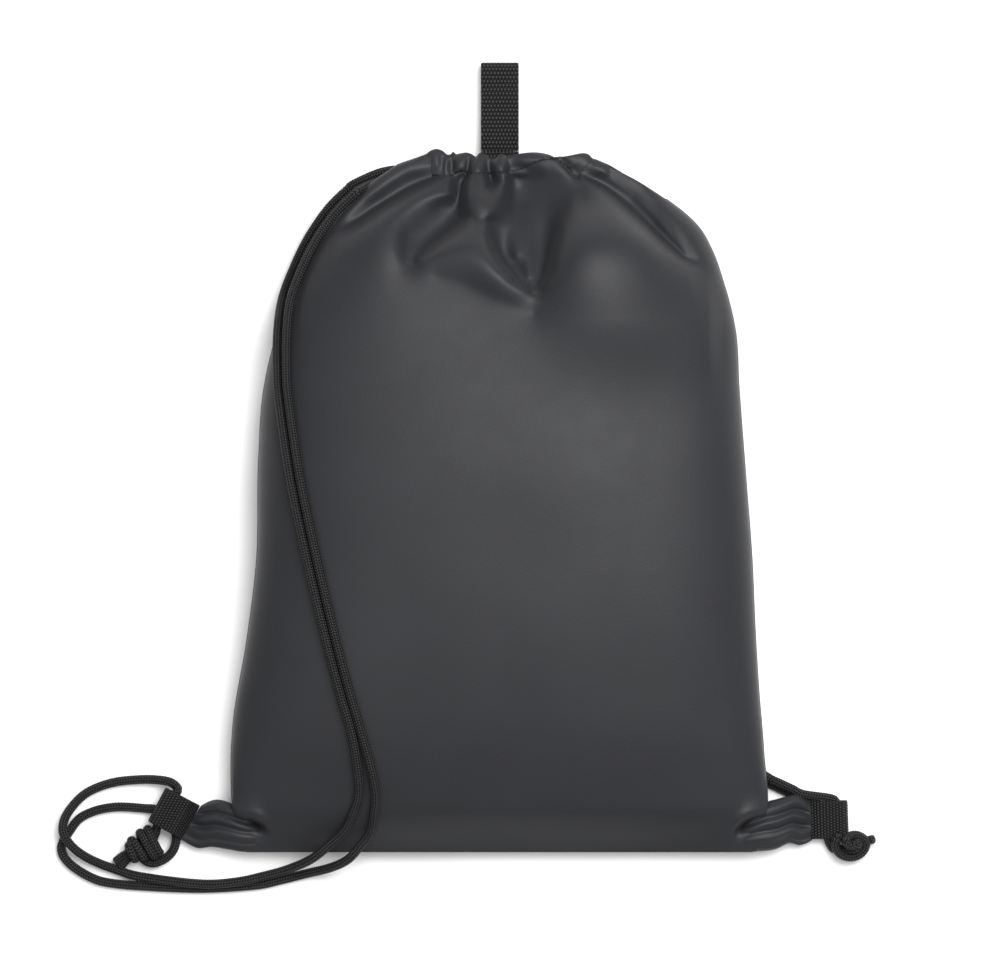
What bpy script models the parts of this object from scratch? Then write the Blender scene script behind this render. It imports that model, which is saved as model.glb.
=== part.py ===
"""Drawstring backpack lying on its back.

The frame has +Z out of the bag's front, +Y towards the drawn neck and +X to the right. The origin is on
the surface that the bag lies on, under the middle of the bag. Metres throughout.
"""
import math

import bmesh
import bpy
import numpy as np
from mathutils import Vector

# Gaps and cloth
GAP = 0.0003
CLOTH = 0.0012
SEAM_HALF = 0.0010

# The bag: the bottom and the top of its two panels
BOTTOM_Y = -0.2612
PANEL_TOP_Y = 0.1835
FRONT_ROUND = 0.030
BACK_ROUND = 0.024
FRONT_POWER = 2.3
BACK_POWER = 2.0

# (y, value) knots of the outline seen from above and of the heights
LEFT_EDGE = (
    (-0.2612, -0.1680), (-0.2379, -0.1741), (-0.2129, -0.1759), (-0.1779, -0.1746), (-0.1211, -0.1653),
    (-0.0700, -0.1590), (0.0000, -0.1574), (0.0450, -0.1540), (0.0848, -0.1455), (0.1158, -0.1365),
    (0.1370, -0.1270), (0.1521, -0.1180), (0.1667, -0.1050), (0.1770, -0.0910), (0.1835, -0.0770),
)
RIGHT_EDGE = (
    (-0.2612, 0.1710), (-0.2379, 0.1776), (-0.1950, 0.1759), (-0.1548, 0.1726), (-0.1125, 0.1700),
    (-0.0683, 0.1680), (-0.0155, 0.1640), (0.0452, 0.1594), (0.0848, 0.1568), (0.1158, 0.1495),
    (0.1370, 0.1416), (0.1521, 0.1337), (0.1667, 0.1165), (0.1770, 0.0970), (0.1835, 0.0800),
)
CREST = (
    (-0.2612, 0.0300), (-0.2400, 0.0400), (-0.2200, 0.0490), (-0.1900, 0.0610), (-0.1500, 0.0715),
    (-0.1000, 0.0795), (-0.0500, 0.0835), (0.0000, 0.0850), (0.0500, 0.0822), (0.0900, 0.0770),
    (0.1200, 0.0700), (0.1400, 0.0622), (0.1550, 0.0530), (0.1700, 0.0410), (0.1835, 0.0300),
)
SEAM = (
    (-0.2612, 0.0160), (-0.2000, 0.0200), (-0.1000, 0.0260), (0.0500, 0.0260), (0.1200, 0.0230),
    (0.1835, 0.0190),
)
TROUGH = ((-0.2612, -0.0050), (0.1000, -0.0050), (0.1400, -0.0010), (0.1650, 0.0030), (0.1835, 0.0050))
PANEL_COLUMNS = 20
PANEL_STRAIGHT_ROWS = 14
ROUNDING_ANGLES = (0, 16, 32, 48, 66, 90)

# The bound seam allowances between the panels
SEAM_REACH = 0.0080
SEAM_BOTTOM_MARGIN = 0.0110
SEAM_END_MARGIN = 0.0020

# The hems round the neck, each a tunnel for the drawcords
HEM_LEFT = -0.0600
HEM_RIGHT = 0.0560
HEM_Y = 0.1925
HEM_HALF_Y = 0.0085
HEM_HALF_Z = 0.0050
HEM_POWER = 2.6
FRONT_HEM_Z = 0.0235
BACK_HEM_Z = 0.0080

# The stitches that close each hem's tunnel
STITCH_INSET = 0.0068
STITCH_PITCH = 0.0044
STITCH_COUNT = 25
STITCH_LIFT = GAP + 0.0004
# (share of the pitch, half width, half height): thin where the thread dips between stitches
STITCH_SECTIONS = (
    (0.00, 0.0001, 0.0001), (0.12, 0.0003, 0.00025), (0.68, 0.0003, 0.00025), (0.80, 0.0001, 0.0001),
)

# The drawcords
CORD = 0.0060
CORD_Z = CORD / 2 + 0.0002
START_GAP = 0.0016
STRAND_Y = {"left": HEM_Y - 0.0032, "right": HEM_Y + 0.0032}
PAIR_OFFSET = 0.0036

# The webbing: one hanging loop at the neck and one tab on each bottom corner
WEBBING = 0.0015
WEBBING_WIDTH = 0.0250
FOLD_ANGLES = (60, 30, 0)
LOOP_X = 0.0016
LOOP_HINGE = Vector((LOOP_X, 0.2040, BACK_HEM_Z + 0.0005))
LOOP = {"length": 0.0570, "half_gap": 0.0030, "neck": 0.0160, "start": 0.0003, "droop": 0.0025}
TAB_HALF_Z = 0.0050
TAB_Z = TAB_HALF_Z + 0.0010
TAB = {"length": 0.0260, "half_gap": TAB_HALF_Z - WEBBING, "neck": 0.0075, "start": 0.0012, "droop": 0.0}
LEFT_TAB = {"hinge": Vector((-0.2026, -0.2422, TAB_Z)), "heading": math.radians(152), "hand": -1}
RIGHT_TAB = {"hinge": Vector((0.2063, -0.2409, TAB_Z)), "heading": math.radians(2), "hand": 1}

# The bag's two bottom corners, gathered into flat ears: (share of the way out, half width, half height)
EAR_START = {"left": Vector((-0.1764, -0.2455, 0.0115)), "right": Vector((0.1800, -0.2450, 0.0115))}
EAR_END_GAP = 0.0012
EAR_SIDES = 16
EAR_SECTIONS = (
    (0.00, 0.0128, 0.0085), (0.22, 0.0150, 0.0092), (0.48, 0.0165, 0.0080), (0.75, 0.0158, 0.0052),
    (1.00, 0.0145, 0.0016),
)

# The knots at the tabs. A tail is in world coordinates; the two turns of cord that pass through the tab
# are (out from the hinge, across towards the neck, up) and end near the middle of the knot.
LEFT_KNOT = {
    "centre": Vector((-0.2400, -0.2555, 0.0078)),
    "radii": Vector((0.0115, 0.0100, 0.0073)),
    "tail": ((-0.2480, -0.2632, 0.0045), (-0.2510, -0.2662, 0.0040), (-0.2530, -0.2682, 0.0036)),
    "turns": (
        ((0.0115, 0.0125, 0), (0.0115, 0, 0), (0.0118, -0.0140, 0), (0.0145, -0.0215, 0)),
        ((0.0185, 0.0125, 0.0003), (0.0185, 0, 0.0003), (0.0195, -0.0110, 0.0004), (0.0225, -0.0180, 0.0009)),
    ),
    "turn_ends": (Vector((0, 0, 0)), Vector((0.0005, 0.0010, 0.0011))),
}
RIGHT_KNOT = {
    "centre": Vector((0.2300, -0.2646, 0.0078)),
    "radii": Vector((0.0120, 0.0100, 0.0073)),
    "tail": ((0.2430, -0.2620, 0.0050), (0.2460, -0.2612, 0.0045), (0.2480, -0.2606, 0.0040)),
    "turns": (
        ((0.0115, 0.0120, 0), (0.0115, 0, 0), (0.0125, -0.0145, 0)),
        ((0.0185, 0.0120, 0.0003), (0.0185, 0, 0.0003), (0.0192, -0.0145, 0.0003)),
    ),
    "turn_ends": (Vector((-0.0040, 0, 0)), Vector((0.0030, 0.0010, 0.0004))),
}

# The left cord's two strands run side by side from the neck down the front. LEFT_PAIR is the line between
# them in plan. Each tail's third number is how far it lies above the bag or the surface, where it crosses
# the other strand or steps off the bag's bottom edge.
LEFT_LEADS = {
    "inner": ((0.000, 0.0000, 0.000), (-0.004, 0.0000, 0.000), (-0.010, 0.0000, 0.003)),
    "outer": ((0.000, 0.0000, 0.000), (-0.003, 0.0000, 0.000), (-0.007, -0.0006, 0.002)),
}
LEFT_PAIR = (
    (-0.0785, 0.1865), (-0.0974, 0.1779), (-0.1106, 0.1620), (-0.1244, 0.1409), (-0.1337, 0.1211),
    (-0.1396, 0.1026), (-0.1416, 0.0795), (-0.1416, 0.0558), (-0.1403, 0.0373), (-0.1330, -0.0122),
    (-0.1224, -0.0637), (-0.1105, -0.1145), (-0.1010, -0.1515), (-0.0930, -0.1799),
)
LEFT_INNER_TAIL = (
    (-0.0921, -0.2036, 0.000), (-0.0908, -0.2214, 0.000), (-0.0941, -0.2333, 0.000),
    (-0.1000, -0.2459, 0.000), (-0.1106, -0.2558, 0.001), (-0.1231, -0.2660, 0.022),
    (-0.1396, -0.2735, 0.004), (-0.1554, -0.2779, 0.004), (-0.1726, -0.2815, 0.006),
    (-0.1964, -0.2828, 0.006), (-0.2360, -0.2782, 0.003), (-0.2525, -0.2736, 0.000),
    (-0.2690, -0.2670, 0.002), (-0.2802, -0.2594, 0.006), (-0.2868, -0.2505, 0.008),
    (-0.2874, -0.2432, 0.006), (-0.2841, -0.2353, 0.002), (-0.2756, -0.2254, 0.000),
    (-0.2657, -0.2195, 0.000), (-0.2525, -0.2155, 0.000), (-0.2363, -0.2139, 0.001),
    (-0.2254, -0.2140, 0.002), (-0.2165, -0.2158, 0.003), (-0.2122, -0.2180, 0.003),
)
LEFT_OUTER_TAIL = (
    (-0.0835, -0.2036, 0.000), (-0.0802, -0.2214, 0.000), (-0.0809, -0.2333, 0.000),
    (-0.0835, -0.2472, 0.000), (-0.0901, -0.2564, 0.001), (-0.0987, -0.2660, 0.022),
    (-0.1106, -0.2720, 0.007), (-0.1257, -0.2760, 0.000), (-0.1436, -0.2805, 0.000),
    (-0.1607, -0.2840, 0.000), (-0.1964, -0.2861, 0.000), (-0.2363, -0.2845, 0.000),
    (-0.2584, -0.2822, 0.000), (-0.2690, -0.2789, 0.000), (-0.2802, -0.2723, 0.000),
    (-0.2868, -0.2657, 0.000), (-0.2888, -0.2604, 0.000), (-0.2877, -0.2558, 0.000),
    (-0.2848, -0.2511, 0.000), (-0.2746, -0.2432, 0.000), (-0.2650, -0.2373, 0.000),
    (-0.2525, -0.2346, 0.000), (-0.2419, -0.2335, 0.001), (-0.2310, -0.2325, 0.002),
)

# The right cord's two strands step down beside the neck and lie under the bag's overhanging right edge
RIGHT_LEAD = (0.000, 0.004, 0.010)
RIGHT_FALLS = {"outer": (0.0170, 0.0110, 0.0060, 0.0020), "inner": (0.0035, 0.0020, 0.0010)}
RIGHT_TAIL_LIFT = 0.0015
RIGHT_TAILS = {"outer": ((0.2185, -0.2180), (0.2245, -0.2230)), "inner": ((0.2100, -0.2243),)}
RIGHT_ROUTE = (
    (0.0750, 0.1905), (0.0825, 0.1850), (0.0915, 0.1770), (0.1030, 0.1660), (0.1180, 0.1510),
    (0.1290, 0.1370), (0.1385, 0.1180), (0.1455, 0.0900), (0.1495, 0.0550), (0.1530, 0.0050),
    (0.1575, -0.0500), (0.1605, -0.1125), (0.1631, -0.1548), (0.1668, -0.1880), (0.1760, -0.2065),
    (0.1900, -0.2148), (0.2050, -0.2203),
)

# Points along a cord, and round the far end of the neck
CORD_SPACING = 0.0135
HEM_RUN_SPACING = 0.0080
TURN_ANGLES = (60, 30, 0, -30, -60)

# Finishes: colour and roughness
BAG_CLOTH = ((0.062, 0.062, 0.066), 0.45)
HEM_CLOTH = ((0.058, 0.058, 0.062), 0.5)
SEAM_TAPE = ((0.020, 0.020, 0.021), 0.7)
BLACK_WEBBING = ((0.012, 0.012, 0.013), 0.65)
BLACK_CORD = ((0.014, 0.014, 0.015), 0.6)
THREAD = ((0.030, 0.030, 0.032), 0.55)


def knot_curve(knots, at):
    """The value at one place of a smooth curve through (place, value) knots."""
    places = np.array([k[0] for k in knots])
    values = np.array([k[1] for k in knots])
    slopes = np.gradient(values, places)
    at = min(max(at, places[0]), places[-1])
    i = int(min(max(np.searchsorted(places, at) - 1, 0), len(places) - 2))
    span = places[i + 1] - places[i]
    t = (at - places[i]) / span
    start = (1 + 2 * t) * (1 - t) ** 2 * values[i] + t * (1 - t) ** 2 * span * slopes[i]
    end = t * t * (3 - 2 * t) * values[i + 1] + t * t * (t - 1) * span * slopes[i + 1]
    return float(start + end)


def dome(share, power):
    """The height of a superellipse, 1 in the middle (share 0) and 0 at the edge (share 1)."""
    return max(0.0, 1 - min(abs(share), 1.0) ** power) ** (1 / power)


def across(x, y):
    """Where x lies between the side seams at y: -1 at the left one, 1 at the right one."""
    left = knot_curve(LEFT_EDGE, y)
    right = knot_curve(RIGHT_EDGE, y)
    return (2 * x - left - right) / (right - left)


def front_height(x, y):
    """The outside of the front panel."""
    seam = knot_curve(SEAM, y) + SEAM_HALF + GAP + CLOTH
    rise = dome(1 - min((y - BOTTOM_Y) / FRONT_ROUND, 1.0), 2)
    return seam + (knot_curve(CREST, y) - seam) * rise * dome(across(x, y), FRONT_POWER)


def back_height(x, y):
    """The outside of the back panel, flat where it lies on the surface."""
    seam = knot_curve(SEAM, y) - SEAM_HALF - GAP - CLOTH
    rise = dome(1 - min((y - BOTTOM_Y) / BACK_ROUND, 1.0), 2)
    return max(0.0, seam + (knot_curve(TROUGH, y) - seam) * rise * dome(across(x, y), BACK_POWER))


def lying_height(x, y):
    """The height of the middle of a cord that lies on the front panel, or on the surface beside the bag."""
    height = CORD_Z
    reach = CORD / 2 + 2 * GAP
    for ring in (0.0, 0.35, 0.7, 0.95):
        for turn in range(12):
            angle = turn * math.tau / 12
            px = x + ring * reach * math.cos(angle)
            py = y + ring * reach * math.sin(angle)
            if BOTTOM_Y <= py <= PANEL_TOP_Y and abs(across(px, py)) <= 1:
                height = max(height, front_height(px, py) + reach * math.sqrt(1 - ring * ring))
    return height


def material(name, colour, roughness):
    made = bpy.data.materials.new(name)
    made.use_nodes = True
    shader = made.node_tree.nodes["Principled BSDF"]
    shader.inputs["Base Color"].default_value = (*colour, 1.0)
    shader.inputs["Roughness"].default_value = roughness
    shader.inputs["Metallic"].default_value = 0.0
    return made


def place(name, data, colour, roughness, origin=None):
    """A new object; a moving piece gets its origin on its joint's axis."""
    made = bpy.data.objects.new(name, data)
    bpy.context.scene.collection.objects.link(made)
    data.materials.append(material(name, colour, roughness))
    if origin is not None:
        made.location = origin
    return made


def mesh_from(name, bm):
    bmesh.ops.recalc_face_normals(bm, faces=bm.faces)
    mesh = bpy.data.meshes.new(name)
    bm.to_mesh(mesh)
    bm.free()
    mesh.shade_smooth()
    mesh.set_sharp_from_angle(angle=math.radians(40))
    return mesh


def panel_rows(rounding):
    """The y of each row of a panel, close together over the rounded bottom."""
    curved = [BOTTOM_Y + rounding * (1 - math.cos(math.radians(a))) for a in ROUNDING_ANGLES]
    straight = np.linspace(curved[-1], PANEL_TOP_Y, PANEL_STRAIGHT_ROWS + 1)[1:]
    return curved + [float(y) for y in straight]


def panel(name, height, rounding, upwards):
    """One panel of the bag as a shell of cloth, open towards the other panel."""
    bm = bmesh.new()
    rows = []
    for y in panel_rows(rounding):
        left = knot_curve(LEFT_EDGE, y)
        right = knot_curve(RIGHT_EDGE, y)
        row = []
        for column in range(PANEL_COLUMNS + 1):
            share = -math.cos(math.pi * column / PANEL_COLUMNS)
            x = (left + right) / 2 + share * (right - left) / 2
            row.append(bm.verts.new((x, y, height(x, y))))
        rows.append(row)
    for low, high in zip(rows, rows[1:]):
        for i in range(PANEL_COLUMNS):
            corners = (low[i], low[i + 1], high[i + 1], high[i])
            bm.faces.new(corners if upwards else corners[::-1])
    mesh = bpy.data.meshes.new(name)
    bm.to_mesh(mesh)
    bm.free()
    mesh.shade_smooth()
    made = place(name, mesh, *BAG_CLOTH)
    shell = made.modifiers.new("cloth", "SOLIDIFY")
    shell.thickness = CLOTH
    shell.offset = -1
    return made


def loft(bm, rings, close_ends=True):
    """Skins closed rings of points, each with the same number of points."""
    made = [[bm.verts.new(p) for p in ring] for ring in rings]
    for one, two in zip(made, made[1:]):
        for i in range(len(one)):
            j = (i + 1) % len(one)
            bm.faces.new((one[i], one[j], two[j], two[i]))
    if close_ends:
        bm.faces.new(made[0][::-1])
        bm.faces.new(made[-1])
    return made


def ring_yz(x, half_y, half_z, centre_z, sides=18):
    """A superellipse round a hem at x."""
    ring = []
    for i in range(sides):
        angle = math.tau * i / sides
        c, s = math.cos(angle), math.sin(angle)
        y = HEM_Y + half_y * math.copysign(abs(c) ** (2 / HEM_POWER), c)
        z = centre_z + half_z * math.copysign(abs(s) ** (2 / HEM_POWER), s)
        ring.append((x, y, z))
    return ring


def hem(name, centre_z):
    """A hem folded and sewn into a tunnel, open at both ends."""
    bm = bmesh.new()
    stations = [float(x) for x in np.linspace(HEM_LEFT, HEM_RIGHT, 6)]
    outside = loft(bm, [ring_yz(x, HEM_HALF_Y, HEM_HALF_Z, centre_z) for x in stations], False)
    inner_y = HEM_HALF_Y - CLOTH
    inner_z = HEM_HALF_Z - CLOTH
    inside = loft(bm, [ring_yz(x, inner_y, inner_z, centre_z) for x in stations], False)
    for end in (0, -1):
        for i in range(len(outside[end])):
            j = (i + 1) % len(outside[end])
            bm.faces.new((outside[end][i], outside[end][j], inside[end][j], inside[end][i]))
    return place(name, mesh_from(name, bm), *HEM_CLOTH)


def strip(name, spine, reach, finish):
    """A flat strip at the seam's height, along a spine of (x, y) points and reaching (dx, dy) from it."""
    bm = bmesh.new()
    dx, dy = reach
    rings = []
    for x, y in spine:
        low = knot_curve(SEAM, y) - SEAM_HALF
        high = knot_curve(SEAM, y) + SEAM_HALF
        rings.append([(x, y, low), (x + dx, y + dy, low), (x + dx, y + dy, high), (x, y, high)])
    loft(bm, rings)
    return place(name, mesh_from(name, bm), *finish)


def seam_strips():
    """The bound seam allowances, between the two panels along both sides and the bottom."""
    rows = [float(y) for y in np.linspace(BOTTOM_Y + SEAM_BOTTOM_MARGIN, PANEL_TOP_Y - SEAM_END_MARGIN, 18)]
    left = [(knot_curve(LEFT_EDGE, y) + GAP, y) for y in rows]
    right = [(knot_curve(RIGHT_EDGE, y) - GAP, y) for y in rows]
    strip("left_side_seam", left, (SEAM_REACH, 0), SEAM_TAPE)
    strip("right_side_seam", right, (-SEAM_REACH, 0), SEAM_TAPE)
    first = knot_curve(LEFT_EDGE, BOTTOM_Y) + SEAM_END_MARGIN
    last = knot_curve(RIGHT_EDGE, BOTTOM_Y) - SEAM_END_MARGIN
    bottom = [(float(x), BOTTOM_Y + GAP) for x in np.linspace(first, last, 10)]
    strip("bottom_seam", bottom, (0, SEAM_REACH), SEAM_TAPE)


def corner(name, start, towards, tab):
    """A bottom corner of the bag, gathered flat into an ear that ends where its tab is sewn on."""
    bm = bmesh.new()
    out = outwards(tab)
    end = tab["hinge"] - out * EAR_END_GAP
    rings = []
    for t, half_width, half_height in EAR_SECTIONS:
        blend = t * t * (3 - 2 * t)
        heading = (Vector((towards, 0, 0)) * (1 - blend) + out * blend).normalized()
        side = Vector((-heading.y, heading.x, 0))
        centre = start.lerp(end, t)
        ring = []
        for i in range(EAR_SIDES):
            angle = math.tau * i / EAR_SIDES
            rise = Vector((0, 0, half_height * math.sin(angle)))
            ring.append(centre + side * half_width * math.cos(angle) + rise)
        rings.append(ring)
    loft(bm, rings)
    return place(name, mesh_from(name, bm), *BAG_CLOTH)


def loop_profile(length, half_gap, neck, start, droop):
    """Folded webbing from the side: the outside and the inside as (out, up) points.

    Both layers meet at the hinge and stand apart towards the fold. The loop droops below its hinge.
    """
    top = half_gap + WEBBING
    root = WEBBING + 0.0002
    straight = length - top
    folds = [math.radians(a) for a in FOLD_ANGLES]
    outside = [(start, root), (neck * 0.5, root + (top - root) * 0.55), (neck, top), (straight, top)]
    outside += [(straight + top * math.cos(a), top * math.sin(a)) for a in folds]
    outside += [(s, -z) for s, z in outside[-2::-1]]
    inside = [(neck * 0.45, GAP), (neck * 0.8, half_gap * 0.75), (neck + 0.001, half_gap)]
    inside += [(straight, half_gap)]
    inside += [(straight + half_gap * math.cos(a), half_gap * math.sin(a)) for a in folds]
    below = [(s, -z) for s, z in inside[:-1]]
    inside = [(inside[0][0] - 0.0007, 0.0)] + below + inside[::-1]

    def drooped(points):
        fallen = []
        for s, z in points:
            share = min(s / neck, 1.0)
            fallen.append((s, z - droop * share * share * (3 - 2 * share)))
        return fallen

    return drooped(outside), drooped(inside)


def webbing_loop(name, hinge, heading, shape):
    """A band of webbing folded over on itself and sewn down at its hinge."""
    out = Vector((math.cos(heading), math.sin(heading), 0))
    side = Vector((-out.y, out.x, 0))
    bm = bmesh.new()
    edges_of_band = []
    for w in (-WEBBING_WIDTH / 2, WEBBING_WIDTH / 2):
        pair = []
        for points in loop_profile(**shape):
            pair.append([bm.verts.new(out * s + side * w + Vector((0, 0, z))) for s, z in points])
        edges_of_band.append(pair)
    for one, two in zip(*edges_of_band):
        for i in range(len(one)):
            j = (i + 1) % len(one)
            bm.faces.new((one[i], one[j], two[j], two[i]))
    for pair in edges_of_band:
        edges = []
        for ring in pair:
            for i in range(len(ring)):
                edges.append(bm.edges.get((ring[i], ring[(i + 1) % len(ring)])))
        bmesh.ops.triangle_fill(bm, edges=edges, use_beauty=True)
    return place(name, mesh_from(name, bm), *BLACK_WEBBING, origin=hinge)


def smooth_route(points, spacing):
    """Points along a Catmull-Rom curve through the route, evenly spaced."""
    p = np.array(points, float)
    p = np.vstack([2 * p[0] - p[1], p, 2 * p[-1] - p[-2]])
    fine = []
    for i in range(1, len(p) - 2):
        for t in np.linspace(0, 1, 12, endpoint=False):
            a = 2 * p[i]
            b = (p[i + 1] - p[i - 1]) * t
            c = (2 * p[i - 1] - 5 * p[i] + 4 * p[i + 1] - p[i + 2]) * t * t
            d = (3 * p[i] - p[i - 1] - 3 * p[i + 1] + p[i + 2]) * t ** 3
            fine.append(0.5 * (a + b + c + d))
    fine.append(p[-2])
    fine = np.array(fine)
    fine[:, 2] = np.maximum(fine[:, 2], CORD_Z)
    walked = np.concatenate([[0], np.cumsum(np.linalg.norm(np.diff(fine, axis=0), axis=1))])
    count = max(2, int(round(walked[-1] / spacing)) + 1)
    at = np.linspace(0, walked[-1], count)
    return np.column_stack([np.interp(at, walked, fine[:, k]) for k in range(3)])


def cord(name, points, spacing=CORD_SPACING):
    """A drawcord as a round tube with filled ends."""
    route = smooth_route(points, spacing)
    data = bpy.data.curves.new(name, "CURVE")
    data.dimensions = "3D"
    data.bevel_depth = CORD / 2
    data.bevel_resolution = 2
    data.render_resolution_u = 0
    data.use_fill_caps = True
    spline = data.splines.new("POLY")
    spline.points.add(len(route) - 1)
    for point, co in zip(spline.points, route):
        point.co = (*co, 1.0)
    return place(name, data, *BLACK_CORD)


def beside(route, offset):
    """A route moved sideways in plan, to its right for a positive offset."""
    moved = []
    for i, (x, y) in enumerate(route):
        before = route[max(i - 1, 0)]
        after = route[min(i + 1, len(route) - 1)]
        along = Vector((after[0] - before[0], after[1] - before[1])).normalized()
        moved.append((x + along.y * offset, y - along.x * offset))
    return moved


def resting(route):
    """Gives each (x, y) or (x, y, lift) point the height of a cord that lies there."""
    placed = []
    for point in route:
        lift = point[2] if len(point) == 3 else 0.0
        placed.append((point[0], point[1], lying_height(point[0], point[1]) + lift))
    return placed


def left_strands():
    """The left cord's two strands: off the neck's left end, down the front and round to the left tab."""
    start_x = HEM_LEFT - START_GAP
    for strand, tunnel_z, offset, tail in (
        ("inner", BACK_HEM_Z, PAIR_OFFSET, LEFT_INNER_TAIL),
        ("outer", FRONT_HEM_Z, -PAIR_OFFSET, LEFT_OUTER_TAIL),
    ):
        route = [(start_x + dx, STRAND_Y["left"] + dy, tunnel_z + dz) for dx, dy, dz in LEFT_LEADS[strand]]
        route += resting(beside(LEFT_PAIR, offset))
        route += resting(tail)
        cord(f"left_cord_{strand}_strand", route)


def right_strands():
    """The right cord's two strands: off the neck's right end and down behind the bag's right edge."""
    start_x = HEM_RIGHT + START_GAP
    for strand, tunnel_z, offset in (
        ("inner", BACK_HEM_Z, PAIR_OFFSET),
        ("outer", FRONT_HEM_Z, -PAIR_OFFSET),
    ):
        route = [(start_x + dx, STRAND_Y["right"], tunnel_z) for dx in RIGHT_LEAD]
        falls = RIGHT_FALLS[strand]
        for i, (x, y) in enumerate(beside(RIGHT_ROUTE, offset)):
            fall = falls[i] if i < len(falls) else 0.0
            route.append((x, y, CORD_Z + fall))
        route += [(x, y, CORD_Z + RIGHT_TAIL_LIFT) for x, y in RIGHT_TAILS[strand]]
        cord(f"right_cord_{strand}_strand", route)


def hem_runs():
    """Each cord's hidden run: through one hem, round the far end of the neck and back through the other."""
    radius = (FRONT_HEM_Z - BACK_HEM_Z) / 2
    middle = (FRONT_HEM_Z + BACK_HEM_Z) / 2
    for side, near, far, out in (("left", HEM_LEFT, HEM_RIGHT, 1), ("right", HEM_RIGHT, HEM_LEFT, -1)):
        y = STRAND_Y[side]
        runs = [float(x) for x in np.linspace(near, far, 6)]
        route = [(x, y, FRONT_HEM_Z) for x in runs]
        for angle in TURN_ANGLES:
            a = math.radians(angle)
            route.append((far + out * radius * math.cos(a), y, middle + radius * math.sin(a)))
        route += [(x, y, BACK_HEM_Z) for x in runs[::-1]]
        cord(f"{side}_cord_in_hems", route, HEM_RUN_SPACING)


def outwards(tab):
    """The way a tab points, away from the bag."""
    return Vector((math.cos(tab["heading"]), math.sin(tab["heading"]), 0))


def in_tab(tab, s, w, z):
    """A point s out along a tab from its hinge, w across it towards the bag's neck and z up."""
    out = outwards(tab)
    side = Vector((-out.y, out.x, 0)) * tab["hand"]
    return tab["hinge"] + out * s + side * w + Vector((0, 0, z))


def tube(bm, route, sides=10):
    """A length of cord as a mesh with filled ends."""
    rings = []
    for i, point in enumerate(route):
        along = (route[min(i + 1, len(route) - 1)] - route[max(i - 1, 0)]).normalized()
        side = along.cross(Vector((0, 0, 1))).normalized()
        up = side.cross(along)
        ring = []
        for k in range(sides):
            angle = math.tau * k / sides
            ring.append(point + (side * math.cos(angle) + up * math.sin(angle)) * CORD / 2)
        rings.append(ring)
    loft(bm, rings)


def knot(name, tab, shape):
    """The knot that ties a cord's two ends at its tab, with its tail and the two turns through the tab."""
    centre = shape["centre"]
    bm = bmesh.new()
    bmesh.ops.create_uvsphere(bm, u_segments=18, v_segments=10, radius=1.0)
    bmesh.ops.scale(bm, vec=shape["radii"], verts=bm.verts)
    bmesh.ops.translate(bm, vec=centre - tab["hinge"], verts=bm.verts)
    made = place(name, mesh_from(name, bm), *BLACK_CORD, origin=tab["hinge"])
    ends = [[centre] + [Vector(p) for p in shape["tail"]]]
    for turn, shift in zip(shape["turns"], shape["turn_ends"]):
        ends.append([in_tab(tab, *p) for p in turn] + [centre + shift])
    for number, route in enumerate(ends):
        end_bm = bmesh.new()
        tube(end_bm, [p - tab["hinge"] for p in route])
        end_name = f"{name}_end_{number}"
        end = place(end_name, mesh_from(end_name, end_bm), *BLACK_CORD, origin=tab["hinge"])
        end.hide_render = True
        end.display_type = "WIRE"
        joined = made.modifiers.new("end", "BOOLEAN")
        joined.operation = "UNION"
        joined.solver = "MANIFOLD"
        joined.object = end
    return made


def stitch_row(name, start):
    """A row of stitches as one thread, wide where it lies on the cloth and thin where it dips into it."""
    bm = bmesh.new()
    rings = []
    for i in range(STITCH_COUNT):
        for share, half_width, half_height in STITCH_SECTIONS:
            x, y, z = start[0] + (i + share) * STITCH_PITCH, start[1], start[2]
            rings.append([
                (x, y - half_width, z - half_height), (x, y + half_width, z - half_height),
                (x, y + half_width, z + half_height), (x, y - half_width, z + half_height),
            ])
    loft(bm, rings)
    return place(name, mesh_from(name, bm), *THREAD)


def stitching():
    """The row that closes each hem's tunnel, on the front hem's upper side and the back hem's lower side."""
    row_y = HEM_Y - STITCH_INSET
    rise = HEM_HALF_Z * dome(STITCH_INSET / HEM_HALF_Y, HEM_POWER) + STITCH_LIFT
    start_x = HEM_LEFT + 0.002
    stitch_row("front_hem_stitching", (start_x, row_y, FRONT_HEM_Z + rise))
    stitch_row("back_hem_stitching", (start_x, row_y, BACK_HEM_Z - rise))


def build():
    for old in list(bpy.data.objects):
        bpy.data.objects.remove(old, do_unlink=True)
    panel("front_panel", front_height, FRONT_ROUND, True)
    panel("back_panel", back_height, BACK_ROUND, False)
    hem("front_hem", FRONT_HEM_Z)
    hem("back_hem", BACK_HEM_Z)
    seam_strips()
    stitching()
    webbing_loop("hang_loop", LOOP_HINGE, math.radians(90), LOOP)
    for side, towards, tab, tied in (
        ("left", -1, LEFT_TAB, LEFT_KNOT),
        ("right", 1, RIGHT_TAB, RIGHT_KNOT),
    ):
        corner(f"{side}_corner", EAR_START[side], towards, tab)
        webbing_loop(f"{side}_tab", tab["hinge"], tab["heading"], TAB)
        knot(f"{side}_knot", tab, tied)
    left_strands()
    right_strands()
    hem_runs()


build()
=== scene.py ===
import math

import bmesh
import bpy
import numpy as np
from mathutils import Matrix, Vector, noise
from mathutils.bvhtree import BVHTree


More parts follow.
